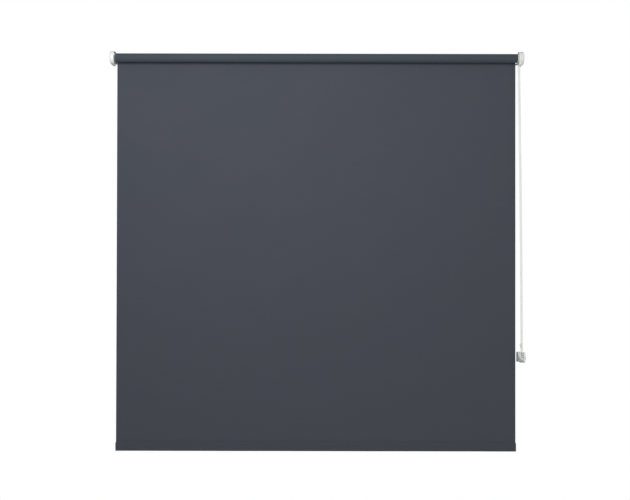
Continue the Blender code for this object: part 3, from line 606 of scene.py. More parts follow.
def add_cloth(bm, line, columns, lift=None, start=0.0, thickness=CLOTH, shift=None):
    """Cloth across the blind along a line of (y, z) points, with its own coordinates."""
    weave = bm.verts.layers.float_vector.new("weave")
    places = column_places(columns)
    along = start
    faces = {1: [], -1: []}
    for index, (y, z) in enumerate(line):
        before = Vector(line[max(index - 1, 0)])
        after = Vector(line[min(index + 1, len(line) - 1)])
        way = (after - before).normalized()
        normal = Vector((way.y, -way.x))
        if index:
            along += (Vector(line[index]) - Vector(line[index - 1])).length
        rows = {1: [], -1: []}
        for x in places:
            edge = (HALF_WIDTH - abs(x)) / MM
            half = thickness / 2 * (0.55 + 0.45 * min(edge / 1.2, 1) ** 0.5)
            rise = lift(x, along) if lift else 0
            slide = shift(x, along) if shift else 0
            for side in (1, -1):
                at = Vector((y, z)) + normal * (rise + side * half)
                vert = bm.verts.new((x + slide, at.x, at.y))
                vert[weave] = (x, along, 0)
                rows[side].append(vert)
        for side in (1, -1):
            faces[side].append(rows[side])
    for side in (1, -1):
        for row, following in zip(faces[side], faces[side][1:]):
            for i in range(len(places) - 1):
                bm.faces.new([row[i], row[i + 1], following[i + 1], following[i]])
    for a, b in ((faces[1][0], faces[-1][0]), (faces[1][-1], faces[-1][-1])):
        for i in range(len(places) - 1):
            bm.faces.new([a[i], a[i + 1], b[i + 1], b[i]])
    for k in (0, -1):
        for i in range(len(line) - 1):
            bm.faces.new([faces[1][i][k], faces[1][i + 1][k], faces[-1][i + 1][k], faces[-1][i][k]])
    return along


def line_length(line):
    return sum((Vector(b) - Vector(a)).length for a, b in zip(line, line[1:]))


# The roll: from the back of the roller up over its top, one turn and a quarter.
ROLL_STEPS = 90
ROLL_TURN = 450  # degrees from the back to the groove in the tube's top
PLY = CLOTH + CLOTH_FIT
INNER_PLY = TUBE_RADIUS + CLOTH / 2 + CLOTH_FIT


def ply_radius(angle):
    return INNER_PLY + PLY * (ROLL_TURN - angle) / 360


def roll_line():
    points = []
    for step in range(ROLL_STEPS + 1):
        angle = ROLL_TURN * step / ROLL_STEPS
        radius = ply_radius(angle)
        turn = math.radians(angle)
        points.append((AXIS_Y + radius * math.cos(turn), AXIS_Z + radius * math.sin(turn)))
    return points


TOP_Y = AXIS_Y + ply_radius(0)


def sheet_line(rows=110):
    """From the roll's back down to the hem, a little closer to upright than the roll."""
    points = []
    for step in range(rows + 1):
        share = step / rows
        z = SHEET_HIGH.z + (HEM_TOP + PINCH - SHEET_HIGH.z) * share
        ease = share * share * (3 - 2 * share)
        points.append((TOP_Y + (CLOTH_Y - TOP_Y) * ease, z))
    return points


SHEET_LINE = sheet_line()
SHEET_LENGTH = line_length(SHEET_LINE)


def sheet_lift(x, along):
    """Faint waves that die away at the roll and the hem, and side edges that curl back."""
    share = along / SHEET_LENGTH
    hold = math.sin(math.pi * share) ** 0.7 if 0 < share < 1 else 0
    wave = 0.34 * math.sin(x * 9.1 + 0.8) * math.sin(along * 5.3 + 0.4)
    wave += 0.22 * math.sin(x * 21.0 + along * 3.1) * math.sin(along * 11.7 + 1.9)
    wave += 0.30 * math.sin(along * 8.2 + x * 1.3 + 2.1)
    edge = max(0.0, 1 - (HALF_WIDTH - abs(x)) / CURL_WIDTH)
    return (wave * MM - SIDE_CURL * edge * edge) * hold


sheet = mesh_object("cloth_panel", lambda bm: add_cloth(bm, SHEET_LINE, WIDE_COLUMNS, sheet_lift))
soften(sheet, 0, angle=45)
dress(sheet, BLIND_CLOTH, "bottom_rail", "blind_fabric", "fabric_sheet")
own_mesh(sheet)


def roll_shift(x, along):
    """The roll's edges don't lie quite on top of each other."""
    return math.copysign(EDGE_DRIFT, x) * math.sin(along * 60) * (abs(x) / HALF_WIDTH) ** 40


roll = mesh_object(
    "cloth_roll", lambda bm: add_cloth(bm, roll_line(), 30, shift=roll_shift, start=-SHEET_LENGTH)
)
soften(roll, 0, angle=45)
dress(roll, ROLL_CLOTH, "roller", "blind_fabric", "fabric_roll")


def hem_line():
    """Down the back of the bar, under it, up its front and onto the hanging cloth again."""
    skin = CLOTH / 2
    half = HEM_HALF - skin
    pinch = HEM_TOP + PINCH
    shoulder = HEM_TOP - HEM_SHOULDER
    foot = HEM_FOOT + skin
    corner = HEM_CORNER
    back = [(CLOTH_Y, pinch), (CLOTH_Y + 0.25 * half, pinch - HEM_EASE)]
    for share in (0.25, 0.5, 0.75, 1.0):
        ease = math.sin(share * math.pi / 2)
        back.append((CLOTH_Y + half * ease, pinch - HEM_EASE + (shoulder - pinch) * share))
    for share in (0.2, 0.4, 0.6, 0.8, 1.0):
        back.append((CLOTH_Y + half, shoulder + (foot + corner - shoulder - HEM_EASE) * share))
    under = arc((CLOTH_Y + half - corner, foot + corner), corner, 0, -90, 6)
    under += arc((CLOTH_Y - half + corner, foot + corner), corner, -90, -180, 6)
    front = [(2 * CLOTH_Y - y, z) for y, z in reversed(back[2:])]
    face = CLOTH_Y - CLOTH - CLOTH_FIT
    front = [(min(y, face), z) for y, z in front]
    flap = [(face, pinch - 0.2 * MM), (face, pinch + SEAM_BAND / 2), (face, pinch + SEAM_BAND)]
    line = []
    for point in back + under + front + flap:
        if not line or (Vector(point) - Vector(line[-1])).length > 0.12 * MM:
            line.append(point)
    return line


def hem_lift(x, along):
    """The hem bulges a little less in some places than in others."""
    return HEM_WAVE * math.sin(x * 23 + 1) * math.sin(x * 7.7) * math.sin(math.pi * along / HEM_LENGTH)


HEM_LINE = hem_line()
HEM_LENGTH = line_length(HEM_LINE)
hem = mesh_object("hem", lambda bm: add_cloth(bm, HEM_LINE, WIDE_COLUMNS, hem_lift))
soften(hem, 0, angle=50)
# The hem's cloth carries the painted shade of the bar's pocket.
dress(hem, HEM_CLOTH_PAINTED_SHADE, "bottom_rail", "blind_fabric", "hem_pocket")


# --- bar caps ---

BAR_CENTRE = (CLOTH_Y, (HEM_TOP + HEM_FOOT) / 2)
CAP_DOME = 0.35 * MM
CAP_INSET = 0.8 * MM
CAP_CORNER = 1.2 * MM
TONGUE = 1.2 * MM
TONGUE_SHORT = 3.9 * MM  # of the cap's height


def flat_section(thickness, height, corner):
    half, tall = thickness / 2, height / 2
    return rounded(rectangle(-half, -tall, half, tall), corner, steps=5)


def build_cap(bm, node, side):
    low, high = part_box(node)
    tip = high.x if side > 0 else low.x
    root = low.x if side > 0 else high.x
    thick, tall = high.y - low.y, high.z - low.z
    face = side * (HALF_WIDTH + FIT)
    tongue = flat_section(TONGUE, tall - TONGUE_SHORT, 0.3 * MM)
    plate = flat_section(thick, tall, CAP_CORNER)
    domed = flat_section(thick - CAP_INSET, tall - CAP_INSET, CAP_CORNER - 0.2 * MM)
    sections = [(root, tongue), (face, tongue), (face, plate), (tip - side * CAP_DOME, plate), (tip, domed)]
    add_loft(bm, sections, BAR_CENTRE)


for cap_node, cap_side in (("bar_cap_left", -1), ("bar_cap_right", 1)):
    cap = mesh_object(cap_node + "_visual", lambda bm: build_cap(bm, cap_node, cap_side))
    soften(cap, 0.15 * MM)
    dress(cap, DARK, "bottom_rail", "dark_plastic", cap_node)


# --- brackets and covers ---

COVER_WALL = 1.2 * MM
COVER_DOME = 3.5 * MM
PLATE = 1.5 * MM
HOLE_RADIUS = 2.25 * MM
HOLE_HEIGHT = 8.5 * MM
BEND_RADIUS = 2.0 * MM
BEND_SHORT = 1.0 * MM  # at each end of the bend
FLANGE_HALF = 15 * MM
FLANGE_CORNER = 3 * MM
DOME_STEPS = 8


def half_round(radius, back, steps=40):
    """A flat edge at y = back, and a half-round front about the roller axis."""
    return [(back, -radius), *arc((0, 0), radius, 270, 90, steps), (back, radius)]


def domed(bm, side, start, face, radius, dome, back):
    sections = [(side * start, half_round(radius, back))]
    sections += rounded_end(side * face, side, dome, DOME_STEPS, lambda d: half_round(radius - d, back))
    add_loft(bm, sections)


def build_cover(node, side):
    """A domed shell, open towards the bracket."""
    low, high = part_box(node)
    face = max(abs(low.x), abs(high.x))
    start = min(abs(low.x), abs(high.x))
    radius = (high.z - low.z) / 2
    back = high.y - AXIS_Y
    made = mesh_object(
        node + "_visual", lambda bm: domed(bm, side, start, face, radius, COVER_DOME, back)
    )

    def inside(bm):
        hollow = radius - COVER_WALL
        domed(bm, side, start - PLATE, face - COVER_WALL, hollow, COVER_DOME - COVER_WALL, back + PLATE)

    cut(made, inside)
    soften(made, 0.3 * MM)
    return dress(made, WHITE, "frame", "white_plastic", node)


def build_bracket(node, side, opening):
    """A steel plate bent from its wall flange, which has two screw holes."""
    low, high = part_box(node)
    outer = max(abs(low.x), abs(high.x))
    plate = outer - PLATE
    flange_end = min(abs(low.x), abs(high.x))
    radius = (high.z - low.z) / 2
    wall = high.y
    outline = half_round(radius, wall - AXIS_Y)
    made = mesh_object(node + "_visual", lambda bm: add_prism(bm, outline, side * plate, side * outer))

    def flange(bm):
        ends = sorted((side * flange_end, side * (plate + PLATE / 2)))
        outline = rectangle(ends[0], AXIS_Z - FLANGE_HALF, ends[1], AXIS_Z + FLANGE_HALF)
        add_deep(bm, rounded(outline, FLANGE_CORNER, steps=5), wall - PLATE, wall)

    def bend(bm):
        """The inner radius of the bend between plate and flange."""
        corner_x = side * (plate + LAP)
        corner_y = wall - PLATE + LAP
        reach = BEND_RADIUS + LAP
        middle_x = corner_x - side * reach
        hollow = arc((0, corner_y - reach), BEND_RADIUS, 0, 90, 6)
        outline = [(corner_x, corner_y), (corner_x, corner_y - reach)]
        outline += [(middle_x + side * u, v) for u, v in hollow]
        outline += [(middle_x, corner_y)]
        half = FLANGE_HALF - BEND_SHORT
        add_upright(bm, outline, AXIS_Z - half, AXIS_Z + half)

    def holes(bm):
        middle = side * (plate - (plate - flange_end) / 2)
        for height in (-HOLE_HEIGHT, HOLE_HEIGHT):
            at = AXIS_Z + height
            add_rod(bm, (middle, wall - 3 * PLATE, at), (middle, wall + PLATE, at), HOLE_RADIUS, 32)

    join(made, flange, bend)
    cut(made, holes, opening)
    soften(made, 0.22 * MM)
    return dress(made, PAINTED, "frame", "painted_steel", node)


BUSH_HOLE = 8.0 * MM
SQUARE_HOLE = 5.1 * MM
idle_reach = abs(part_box("idle_bracket")[0].x)
control_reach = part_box("control_bracket")[1].x


def add_square(bm, corner, start, end):
    """A square prism about the roller's axis, for the clutch core's square end."""
    square = rectangle(-SQUARE_HOLE, -SQUARE_HOLE, SQUARE_HOLE, SQUARE_HOLE)
    add_prism(bm, rounded(square, corner) if corner else square, start, end)


def bush_hole(bm):
    add_prism(bm, circle(BUSH_HOLE, 48), -idle_reach + 3 * PLATE, -idle_reach - PLATE)


def square_hole(bm):
    add_square(bm, 0.6 * MM, control_reach - 3 * PLATE, control_reach + PLATE)


build_bracket("idle_bracket", -1, bush_hole)
build_bracket("control_bracket", 1, square_hole)
build_cover("idle_bracket_cover", -1)
build_cover("control_bracket_cover", 1)


# --- idle end ---


def turned_piece(name, profile, look, body, slot, *nodes, sides=64, centre=(AXIS_Y, AXIS_Z), edge=0.25 * MM):
    """A turned piece whose profile has rounded corners."""
    made = mesh_object(name, lambda bm: add_turned(bm, rounded(profile, edge), sides, centre))
    soften(made, 0)
    return dress(made, look, body, slot, *nodes)


PIN_BORE = 3.3 * MM
CHAMBER = 4.6 * MM
PLUG_FLANGE = 2.7 * MM
PLUG_NOSE = 5.0 * MM
plug_low, plug_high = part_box("idle_plug")
plug_face, plug_end = plug_low.x, plug_high.x
plug_radius = (plug_high.z - plug_low.z) / 2
PLUG_BODY = TUBE_RADIUS - 1.3 * MM
WELL_DEPTH = 1.3 * MM
WELL_INNER = 6.2 * MM
WELL_OUTER = 14.8 * MM
SPOKES = 8
SPOKE_HALF = 0.6 * MM
SPOKE_SUNK = 0.2 * MM
RIM = 1.2 * MM  # straight edge of the flange, before it tapers to the roll
RIM_NOTCHES = 18
NOTCH_RADIUS = 1.3 * MM
GROOVE_ROOM = rectangle(-2.8 * MM, 9.6 * MM, 2.8 * MM, TUBE_RADIUS)  # for the groove of the tube


def build_idle_plug():
    profile = [
        (plug_face, PIN_BORE),
        (plug_face, WELL_INNER),
        (plug_face + WELL_DEPTH, WELL_INNER),
        (plug_face + WELL_DEPTH, WELL_OUTER),
        (plug_face, WELL_OUTER),
        (plug_face, plug_radius),
        (plug_face + RIM, plug_radius),
        (plug_face + PLUG_FLANGE, ROLL_RADIUS),
        (plug_face + PLUG_FLANGE, PLUG_BODY),
        (plug_end, PLUG_BODY),
        (plug_end, CHAMBER),
        (plug_face + PLUG_NOSE, CHAMBER),
        (plug_face + PLUG_NOSE, PIN_BORE),
    ]
    made = mesh_object("idle_plug_visual", lambda bm: add_turned(bm, rounded(profile, 0.3 * MM), 96))

    def spokes(bm):
        for index in range(SPOKES):
            turn = math.tau * (index + 0.5) / SPOKES
            half = SPOKE_HALF
            across = Vector((-math.sin(turn), math.cos(turn)))
            out = Vector((math.cos(turn), math.sin(turn)))
            spoke = rectangle(-half, WELL_INNER - half, half, WELL_OUTER + half)
            corners = [tuple(out * reach + across * side) for side, reach in spoke]
            add_prism(bm, corners, plug_face + SPOKE_SUNK, plug_face + WELL_DEPTH + half)

    def groove(bm):
        add_prism(bm, GROOVE_ROOM, plug_face + PLUG_FLANGE + 0.1 * MM, plug_end + PLATE)

    def notches(bm):
        for index in range(RIM_NOTCHES):
            turn = math.tau * (index + 0.3) / RIM_NOTCHES
            middle = (plug_radius * math.cos(turn), plug_radius * math.sin(turn))
            notch = circle(NOTCH_RADIUS, 16, middle)
            add_prism(bm, notch, plug_face - PLATE, plug_face + PLUG_FLANGE + PLATE)

    join(made, spokes)
    cut(made, groove, notches)
    soften(made, 0)
    return dress(made, PLUG_GREY, "roller", "dark_plastic", "idle_plug")


build_idle_plug()

bush_low, bush_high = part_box("idle_bush")
bush_radius = 7.7 * MM
bush_flange_radius = (bush_high.z - bush_low.z) / 2
bush_step = -(idle_reach + FIT)
turned_piece(
    "idle_bush_visual",
    [
        (bush_high.x, PIN_BORE + 0.4 * MM),
        (bush_high.x, 5.4 * MM),
        (bush_high.x - 0.5 * MM, 5.6 * MM),
        (bush_high.x - 0.5 * MM, 6.5 * MM),
        (bush_high.x, 6.7 * MM),
        (bush_high.x, bush_radius),
        (bush_step, bush_radius),
        (bush_step, bush_flange_radius),
        (bush_low.x, bush_flange_radius),
        (bush_low.x, PIN_BORE),
        (bush_high.x - 0.8 * MM, PIN_BORE),
    ],
    NATURAL, "frame", "natural_plastic", "idle_bush",
)

pin_low, pin_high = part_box("idle_pin")
pin_radius = 3.0 * MM
pin_head = 4.2 * MM
pin_tail = 2.6 * MM
pin_chamfer = 0.9 * MM
ring_depth = 0.35 * MM
pin_head_length = 3.0 * MM
head_front = plug_face + PLUG_NOSE + FIT
turned_piece(
    "idle_pin_visual",
    [
        (pin_low.x, 0),
        (pin_low.x, pin_radius - pin_chamfer),
        (pin_low.x + pin_chamfer, pin_radius),
        (head_front - 3.2 * MM, pin_radius),
        (head_front - 3.0 * MM, pin_radius - ring_depth),
        (head_front - 2.0 * MM, pin_radius - ring_depth),
        (head_front - 1.8 * MM, pin_radius),
        (head_front, pin_radius),
        (head_front, pin_head),
        (head_front + pin_head_length, pin_head),
        (head_front + pin_head_length, pin_tail),
        (pin_high.x, pin_tail),
        (pin_high.x, 0),
    ],
    STEEL, "idle_pin", "steel", "idle_pin", sides=40,
)


SPRING_WIRE = 0.4 * MM
SPRING_TURNS = 8
SPRING_CLOSED = 0.9  # turns laid close together at each end


def build_idle_spring():
    """The compression spring behind the idle pin, which shortens as the pin is pressed in."""
    low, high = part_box("idle_spring")
    coil = (high.z - low.z) / 2 - SPRING_WIRE
    length = high.x - low.x
    steps, sides = 24, 10  # round each turn, and round the wire
    closed_pitch = 2.05 * SPRING_WIRE
    closed = SPRING_CLOSED * closed_pitch
    open_pitch = (length - 2 * SPRING_WIRE - 2 * closed) / (SPRING_TURNS - 2 * SPRING_CLOSED)

    def along(turn):
        if turn < SPRING_CLOSED:
            return turn * closed_pitch
        if turn > SPRING_TURNS - SPRING_CLOSED:
            return length - 2 * SPRING_WIRE - (SPRING_TURNS - turn) * closed_pitch
        return closed + (turn - SPRING_CLOSED) * open_pitch

    def wire(bm):
        rings = []
        for step in range(SPRING_TURNS * steps + 1):
            turn = step / steps
            x = low.x + SPRING_WIRE + along(turn)
            angle = math.tau * turn
            ring = []
            for side in range(sides):
                around_wire = math.tau * side / sides
                reach = coil + SPRING_WIRE * math.cos(around_wire)
                y = AXIS_Y + reach * math.cos(angle)
                z = AXIS_Z + reach * math.sin(angle)
                ring.append(bm.verts.new((x + SPRING_WIRE * math.sin(around_wire), y, z)))
            rings.append(ring)
        bridge_closed(bm, rings)

    made = mesh_object("idle_spring_visual", wire)
    soften(made, 0)
    dress(made, STEEL, "roller", "steel", "idle_spring")
    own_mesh(made)


build_idle_spring()


# --- clutch end ---

COLLAR_RIBS = 48
RIB_DEPTH = 0.45 * MM
CORE_BORE = 5.5 * MM
FINGER_INNER = 7.0 * MM
FINGER_OUTER = 8.0 * MM
CROWN_BORE = 8.3 * MM
CROWN_WALL = 3.5 * MM
FINGER_LENGTH = 33 * MM

drive_low, drive_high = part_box("drive_plug")
drive_radius = (drive_high.z - drive_low.z) / 2
collar_start = HALF_WIDTH + FIT
crown_end = drive_low.x


def ribbed_circle(radius, depth, ribs, fill=0.55):
    """A circle with flat-topped ribs round it."""
    points = []
    for index in range(ribs):
        for place, down in ((0.0, 0), (fill * 0.8, 0), (fill, depth), (0.8 + fill * 0.2, depth)):
            turn = math.tau * (index + place) / ribs
            points.append(((radius - down) * math.cos(turn), (radius - down) * math.sin(turn)))
    return points


def build_drive_plug():
    collar_root = drive_radius - RIB_DEPTH - 0.2 * MM
    profile = [
        (drive_high.x, CROWN_BORE),
        (drive_high.x, collar_root),
        (collar_start, collar_root),
        (collar_start, PLUG_BODY),
        (crown_end, PLUG_BODY),
        (crown_end, CORE_BORE),
        (crown_end + CROWN_WALL, CORE_BORE),
        (crown_end + CROWN_WALL, CROWN_BORE),
    ]
    made = mesh_object("drive_plug_visual", lambda bm: add_turned(bm, profile, 96))
    bore = circle(CROWN_BORE, len(ribbed_circle(1, 0.1, COLLAR_RIBS)))

    def collar(bm):
        edge = 0.25 * MM
        start, end = collar_start, drive_high.x
        teeth = ribbed_circle(drive_radius, RIB_DEPTH, COLLAR_RIBS)
        inset = ribbed_circle(drive_radius - edge, RIB_DEPTH, COLLAR_RIBS)
        sections = [(start, inset), (start + edge, teeth), (end - edge, teeth), (end, inset)]
        sections += [(end, bore), (start, bore), (start, inset)]
        rings = []
        for x, outline in sections:
            rings.append([bm.verts.new((x, AXIS_Y + u, AXIS_Z + v)) for u, v in outline])
        bridge(bm, rings)
        bmesh.ops.remove_doubles(bm, verts=rings[0] + rings[-1], dist=1e-8)

    def rib(bm):
        outline = arc((0, 0), CROWN_BORE + LAP, 60, 120, 10) + arc((0, 0), FINGER_INNER, 120, 60, 10)
        wall = crown_end + CROWN_WALL
        add_prism(bm, outline, wall - LAP, wall + FINGER_LENGTH)

    def groove(bm):
        add_prism(bm, GROOVE_ROOM, crown_end - PLATE, collar_start - 0.1 * MM)

    join(made, collar, rib)
    cut(made, groove)
    soften(made, 0)
    return dress(made, DARK, "roller", "dark_plastic", "drive_plug")


build_drive_plug()

FLANGE_RADIUS = (SPROCKET_HIGH.z - SPROCKET_LOW.z) / 2
sprocket_inner = SPROCKET_LOW.x + FINGER_LENGTH
INNER_FLANGE = 1.9 * MM
OUTER_FLANGE = 1.0 * MM
HUB_RADIUS = PITCH_RADIUS - BEAD_RADIUS - 0.35 * MM
TOOTH_HALF = 0.55 * MM
TOOTH_ROOT_HALF = 1.1 * MM
TOOTH_TOP = PITCH_RADIUS + 1.1 * MM
CORD_ROOM = 1.0 * MM
FLANGE_NOTCHES = 16
FLANGE_NOTCH_RADIUS = 1.4 * MM


def build_sprocket():
    """Flanges and hub, with a pair of teeth between neighbouring beads and a groove for the cord."""
    groove = sprocket_inner + INNER_FLANGE
    groove_end = SPROCKET_HIGH.x - OUTER_FLANGE
    profile = [
        (sprocket_inner, CORE_BORE),
        (sprocket_inner, FLANGE_RADIUS),
        (groove - 0.5 * MM, FLANGE_RADIUS),
        (groove, FLANGE_RADIUS - 1.6 * MM),
        (groove, HUB_RADIUS),
        (groove_end, HUB_RADIUS),
        (groove_end, FLANGE_RADIUS - 0.8 * MM),
        (groove_end + 0.3 * MM, FLANGE_RADIUS),
        (SPROCKET_HIGH.x, FLANGE_RADIUS),
        (SPROCKET_HIGH.x, CORE_BORE),
    ]
    made = mesh_object("sprocket_visual", lambda bm: add_turned(bm, rounded(profile, 0.2 * MM), 80))

    def teeth(bm):
        start_angle = math.atan2(CHAIN_FRONT.z, CHAIN_FRONT.y)
        for index in range(BEADS_PER_TURN):
            turn = start_angle + math.tau * (index + 0.5) / BEADS_PER_TURN
            out = Vector((math.cos(turn), math.sin(turn)))
            across = Vector((-out.y, out.x))
            root = HUB_RADIUS - 0.5 * MM
            outline = [out * root - across * TOOTH_ROOT_HALF, out * TOOTH_TOP - across * TOOTH_HALF]
            outline += [out * TOOTH_TOP + across * TOOTH_HALF, out * root + across * TOOTH_ROOT_HALF]
            outline = rounded([tuple(p) for p in outline], 0.3 * MM)
            add_prism(bm, outline, groove - LAP, SPROCKET_PLANE - CORD_ROOM)
            add_prism(bm, outline, SPROCKET_PLANE + CORD_ROOM, groove_end + LAP)

    def finger(bm):
        outline = arc((0, 0), FINGER_OUTER, -150, -30, 16) + arc((0, 0), FINGER_INNER, -30, -150, 16)
        add_prism(bm, outline, SPROCKET_LOW.x, sprocket_inner + LAP)

    def notches(bm):
        """Notches round the rim of the inner flange."""
        start_angle = math.atan2(CHAIN_FRONT.z, CHAIN_FRONT.y)
        for index in range(FLANGE_NOTCHES):
            turn = start_angle + math.tau * index / FLANGE_NOTCHES
            middle = (FLANGE_RADIUS * math.cos(turn), FLANGE_RADIUS * math.sin(turn))
            notch = circle(FLANGE_NOTCH_RADIUS, 16, middle)
            add_prism(bm, notch, sprocket_inner - PLATE, groove + 0.1 * MM)

    join(made, teeth, finger)
    cut(made, notches)
    soften(made, 0)
    return dress(made, WHITE, "sprocket", "white_plastic", "sprocket")


build_sprocket()

GUARD_WALL = 1.2 * MM
GUARD_OUTER = GUARD_HIGH.z - AXIS_Z
GUARD_FOOT = GUARD_LOW.z - AXIS_Z
GUARD_HALF = PITCH_RADIUS + BEAD_RADIUS + 1.2 * MM
GUARD_CUT = 4.6 * MM  # how far the rim is cut back at its foot
GUARD_CUT_START = 9 * MM  # below the roller's axis
DIVIDER_HALF = 4.38 * MM
DIVIDER_TOP = -15.2 * MM


def guard_outline(radius, half_width, foot):
    """Round above, with straight sides down to the foot where the chain leaves."""
    turn = math.degrees(math.acos(half_width / radius))
    return [(-half_width, foot), (half_width, foot), *arc((0, 0), radius, -turn, 180 + turn, 56)]


def build_guard():
    """A shroud round the sprocket, cut back at its foot on the side of the cloth."""
    front, back = GUARD_LOW.x, GUARD_HIGH.x
    outer = guard_outline(GUARD_OUTER, GUARD_HALF + GUARD_WALL, GUARD_FOOT)
    inner = guard_outline(GUARD_OUTER - GUARD_WALL, GUARD_HALF, GUARD_FOOT - GUARD_WALL)
    made = mesh_object("chain_guard_visual", lambda bm: add_prism(bm, outer, front, back))
    wall = back - GUARD_WALL
    cut(made, lambda bm: add_prism(bm, inner, front - PLATE, wall))

    def divider(bm):
        low = (front, AXIS_Y - DIVIDER_HALF, AXIS_Z + GUARD_FOOT)
        high = (wall + GUARD_WALL / 2, AXIS_Y + DIVIDER_HALF, AXIS_Z + DIVIDER_TOP)
        add_box(bm, low, high)

    def lower_cut(bm):
        start = AXIS_Z - GUARD_CUT_START
        foot = AXIS_Z + GUARD_FOOT - 1 * MM
        outline = [(front - PLATE, start), (front, start), (front + GUARD_CUT * 0.35, start - 6 * MM)]
        outline += [(front + GUARD_CUT, foot), (front - PLATE, foot)]
        add_deep(bm, outline, AXIS_Y - 25 * MM, AXIS_Y + 25 * MM)

    def square_opening(bm):
        add_square(bm, 0, wall - 0.5 * MM, back + PLATE)

    join(made, divider)
    cut(made, lower_cut, square_opening)
    soften(made, 0.25 * MM)
    return dress(made, WHITE, "frame", "white_plastic", "chain_guard")


build_guard()


# --- tensioner ---

WHEEL_CENTRE = (CHAIN_FOOT.y, CHAIN_FOOT.z)
body_low, body_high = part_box("tensioner_body")
cover_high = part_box("tensioner_cover")[1]
clip_low, clip_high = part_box("tensioner_clip")
axle_low, axle_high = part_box("tensioner_axle")
SLOT_HALF = 2.8 * MM
SLOT_LEFT = CHAIN_FOOT.x - SLOT_HALF
SLOT_RIGHT = CHAIN_FOOT.x + SLOT_HALF
SKIN = PITCH_RADIUS + BEAD_RADIUS + 0.5 * MM
BODY_ROUND = 7 * MM
BODY_BACK_ROUND = 1.5 * MM
BODY_EDGE = 1.6 * MM
COVER_EDGE = 2.0 * MM
BODY_SKIN = 2.2 * MM
LIP_ABOVE = 3 * MM  # wheel axis to the top of the lip across the slot
SPINE_SHORT = 2 * MM
CLIP_PLATE = 2 * MM
RAIL_STEP = 1.2 * MM
RAIL_NECK_HALF = 2.5 * MM
RAIL_HEAD_HALF = 4.5 * MM
AXLE_RADIUS = 2.0 * MM
BOSS_RADIUS = 6.5 * MM
BOSS = 2.5 * MM
AXLE_HEAD = 1.6 * MM
axle_head = (axle_high.z - axle_low.z) / 2


def side_outline(inset=0.0):
    """The tensioner seen from its side, about the wheel's axis: round at the front."""
    front = body_low.y - WHEEL_CENTRE[0] + inset
    back = body_high.y - WHEEL_CENTRE[0] - inset
    foot = body_low.z - WHEEL_CENTRE[1] + inset
    top = body_high.z - WHEEL_CENTRE[1] - inset
    big = BODY_ROUND - inset
    small = BODY_BACK_ROUND
    outline = arc((front + big, foot + big), big, 180, 270, 8)
    outline += arc((back - small, foot + small), small, 270, 360, 3)
    outline += arc((back - small, top - small), small, 0, 90, 3)
    outline += arc((front + big, top - big), big, 90, 180, 8)
    return outline


def rail_outline(middle, back, clearance):
    """A T seen from above: a neck from y = back towards the room, then a wider head."""
    face = clip_high.y - CLIP_PLATE
    step = face - RAIL_STEP + clearance
    front = face - 2 * RAIL_STEP - clearance
    neck, wide = RAIL_NECK_HALF + clearance, RAIL_HEAD_HALF + clearance
    points = [(-neck, back), (-neck, step), (-wide, step), (-wide, front)]
    points += [(wide, front), (wide, step), (neck, step), (neck, back)]
    return [(middle + x, y) for x, y in points]


RAIL_MIDDLE = SLOT_LEFT - 1.2 * MM
RAIL_TOP = 8 * MM
RAIL_FOOT = -4 * MM

SLANT_WIDTH = 8.5 * MM
SLANT_HEIGHT = 4.5 * MM
SLOPE_ACROSS = Vector((-13 * MM, 0, 13 * MM))
SLOPE_DEEP = Vector((0, 6.5 * MM, 19 * MM))
SLOPE_NORMAL = SLOPE_DEEP.cross(SLOPE_ACROSS).normalized()
if SLOPE_NORMAL.y > 0:
    SLOPE_NORMAL.negate()


def build_tensioner_body():
    """A moulded block that slides on the clip, with a sloped face up towards the chain."""
    sections = [(SLOT_LEFT, side_outline()), *rounded_end(body_low.x, -1, BODY_EDGE, 4, side_outline)]
    made = mesh_object("tensioner_body_visual", lambda bm: add_loft(bm, sections, WHEEL_CENTRE))
    middle_z = WHEEL_CENTRE[1]

    def spine(bm):
        low = (SLOT_LEFT - 1 * MM, WHEEL_CENTRE[0] + SKIN, body_low.z + SPINE_SHORT)
        high = (SLOT_RIGHT - FIT, body_high.y, body_high.z - SPINE_SHORT)
        add_box(bm, low, high)

    def lip(bm):
        low = (SLOT_LEFT - 1 * MM, body_low.y, body_low.z + BODY_ROUND)
        high = (SLOT_RIGHT - FIT, body_low.y + BODY_SKIN, middle_z + LIP_ABOVE)
        add_box(bm, low, high)

    def slope(bm):
        """Cuts a facet from the upper right of the front face."""
        corner = Vector((SLOT_LEFT + 1 * MM, body_low.y, middle_z - 4 * MM))
        base = [corner + SLOPE_ACROSS * u + SLOPE_DEEP * v for u, v in rectangle(-2, -1, 3, 3)]
        bridge_closed(bm, [[bm.verts.new(p + SLOPE_NORMAL * h) for p in base] for h in (0, 30 * MM)])

    def corner_cut(bm):
        """Takes off the lower left corner, as seen from the room, on a slant."""
        x, z = body_low.x, body_low.z
        beyond = 1 * MM
        side_top = z + SLANT_HEIGHT + 1.2 * MM
        outline = [(x - beyond, z - beyond), (x + SLANT_WIDTH, z - beyond), (x + SLANT_WIDTH, z)]
        outline += [(x + 1 * MM, z + SLANT_HEIGHT), (x, side_top), (x - beyond, side_top)]
        add_deep(bm, outline, AXIS_Y - 40 * MM, AXIS_Y + 40 * MM)

    def rail_slot(bm):
        outline = rail_outline(RAIL_MIDDLE, clip_high.y - CLIP_PLATE + FIT, FIT)
        add_upright(bm, outline, body_low.z - LAP, middle_z + RAIL_TOP + FIT)

    def axle_hole(bm):
        add_prism(bm, circle(AXLE_RADIUS + FIT, 32), axle_low.x - FIT, SLOT_LEFT + LAP, WHEEL_CENTRE)

    join(made, spine, lip)
    cut(made, slope, corner_cut, rail_slot, axle_hole)
    soften(made, 0.35 * MM, angle=28)
    dress(made, GREY, "frame", "grey_plastic", "tensioner_body")
    # The sloped facet's faces get the lighter grey copy: painted highlight on the face turned up to the
    # light.
    made.data.materials.append(FACET_PAINTED_HIGHLIGHT)
    for face in made.data.polygons:
        if face.normal.dot(SLOPE_NORMAL) > 0.995:
            face.material_index = 1
    return made


build_tensioner_body()


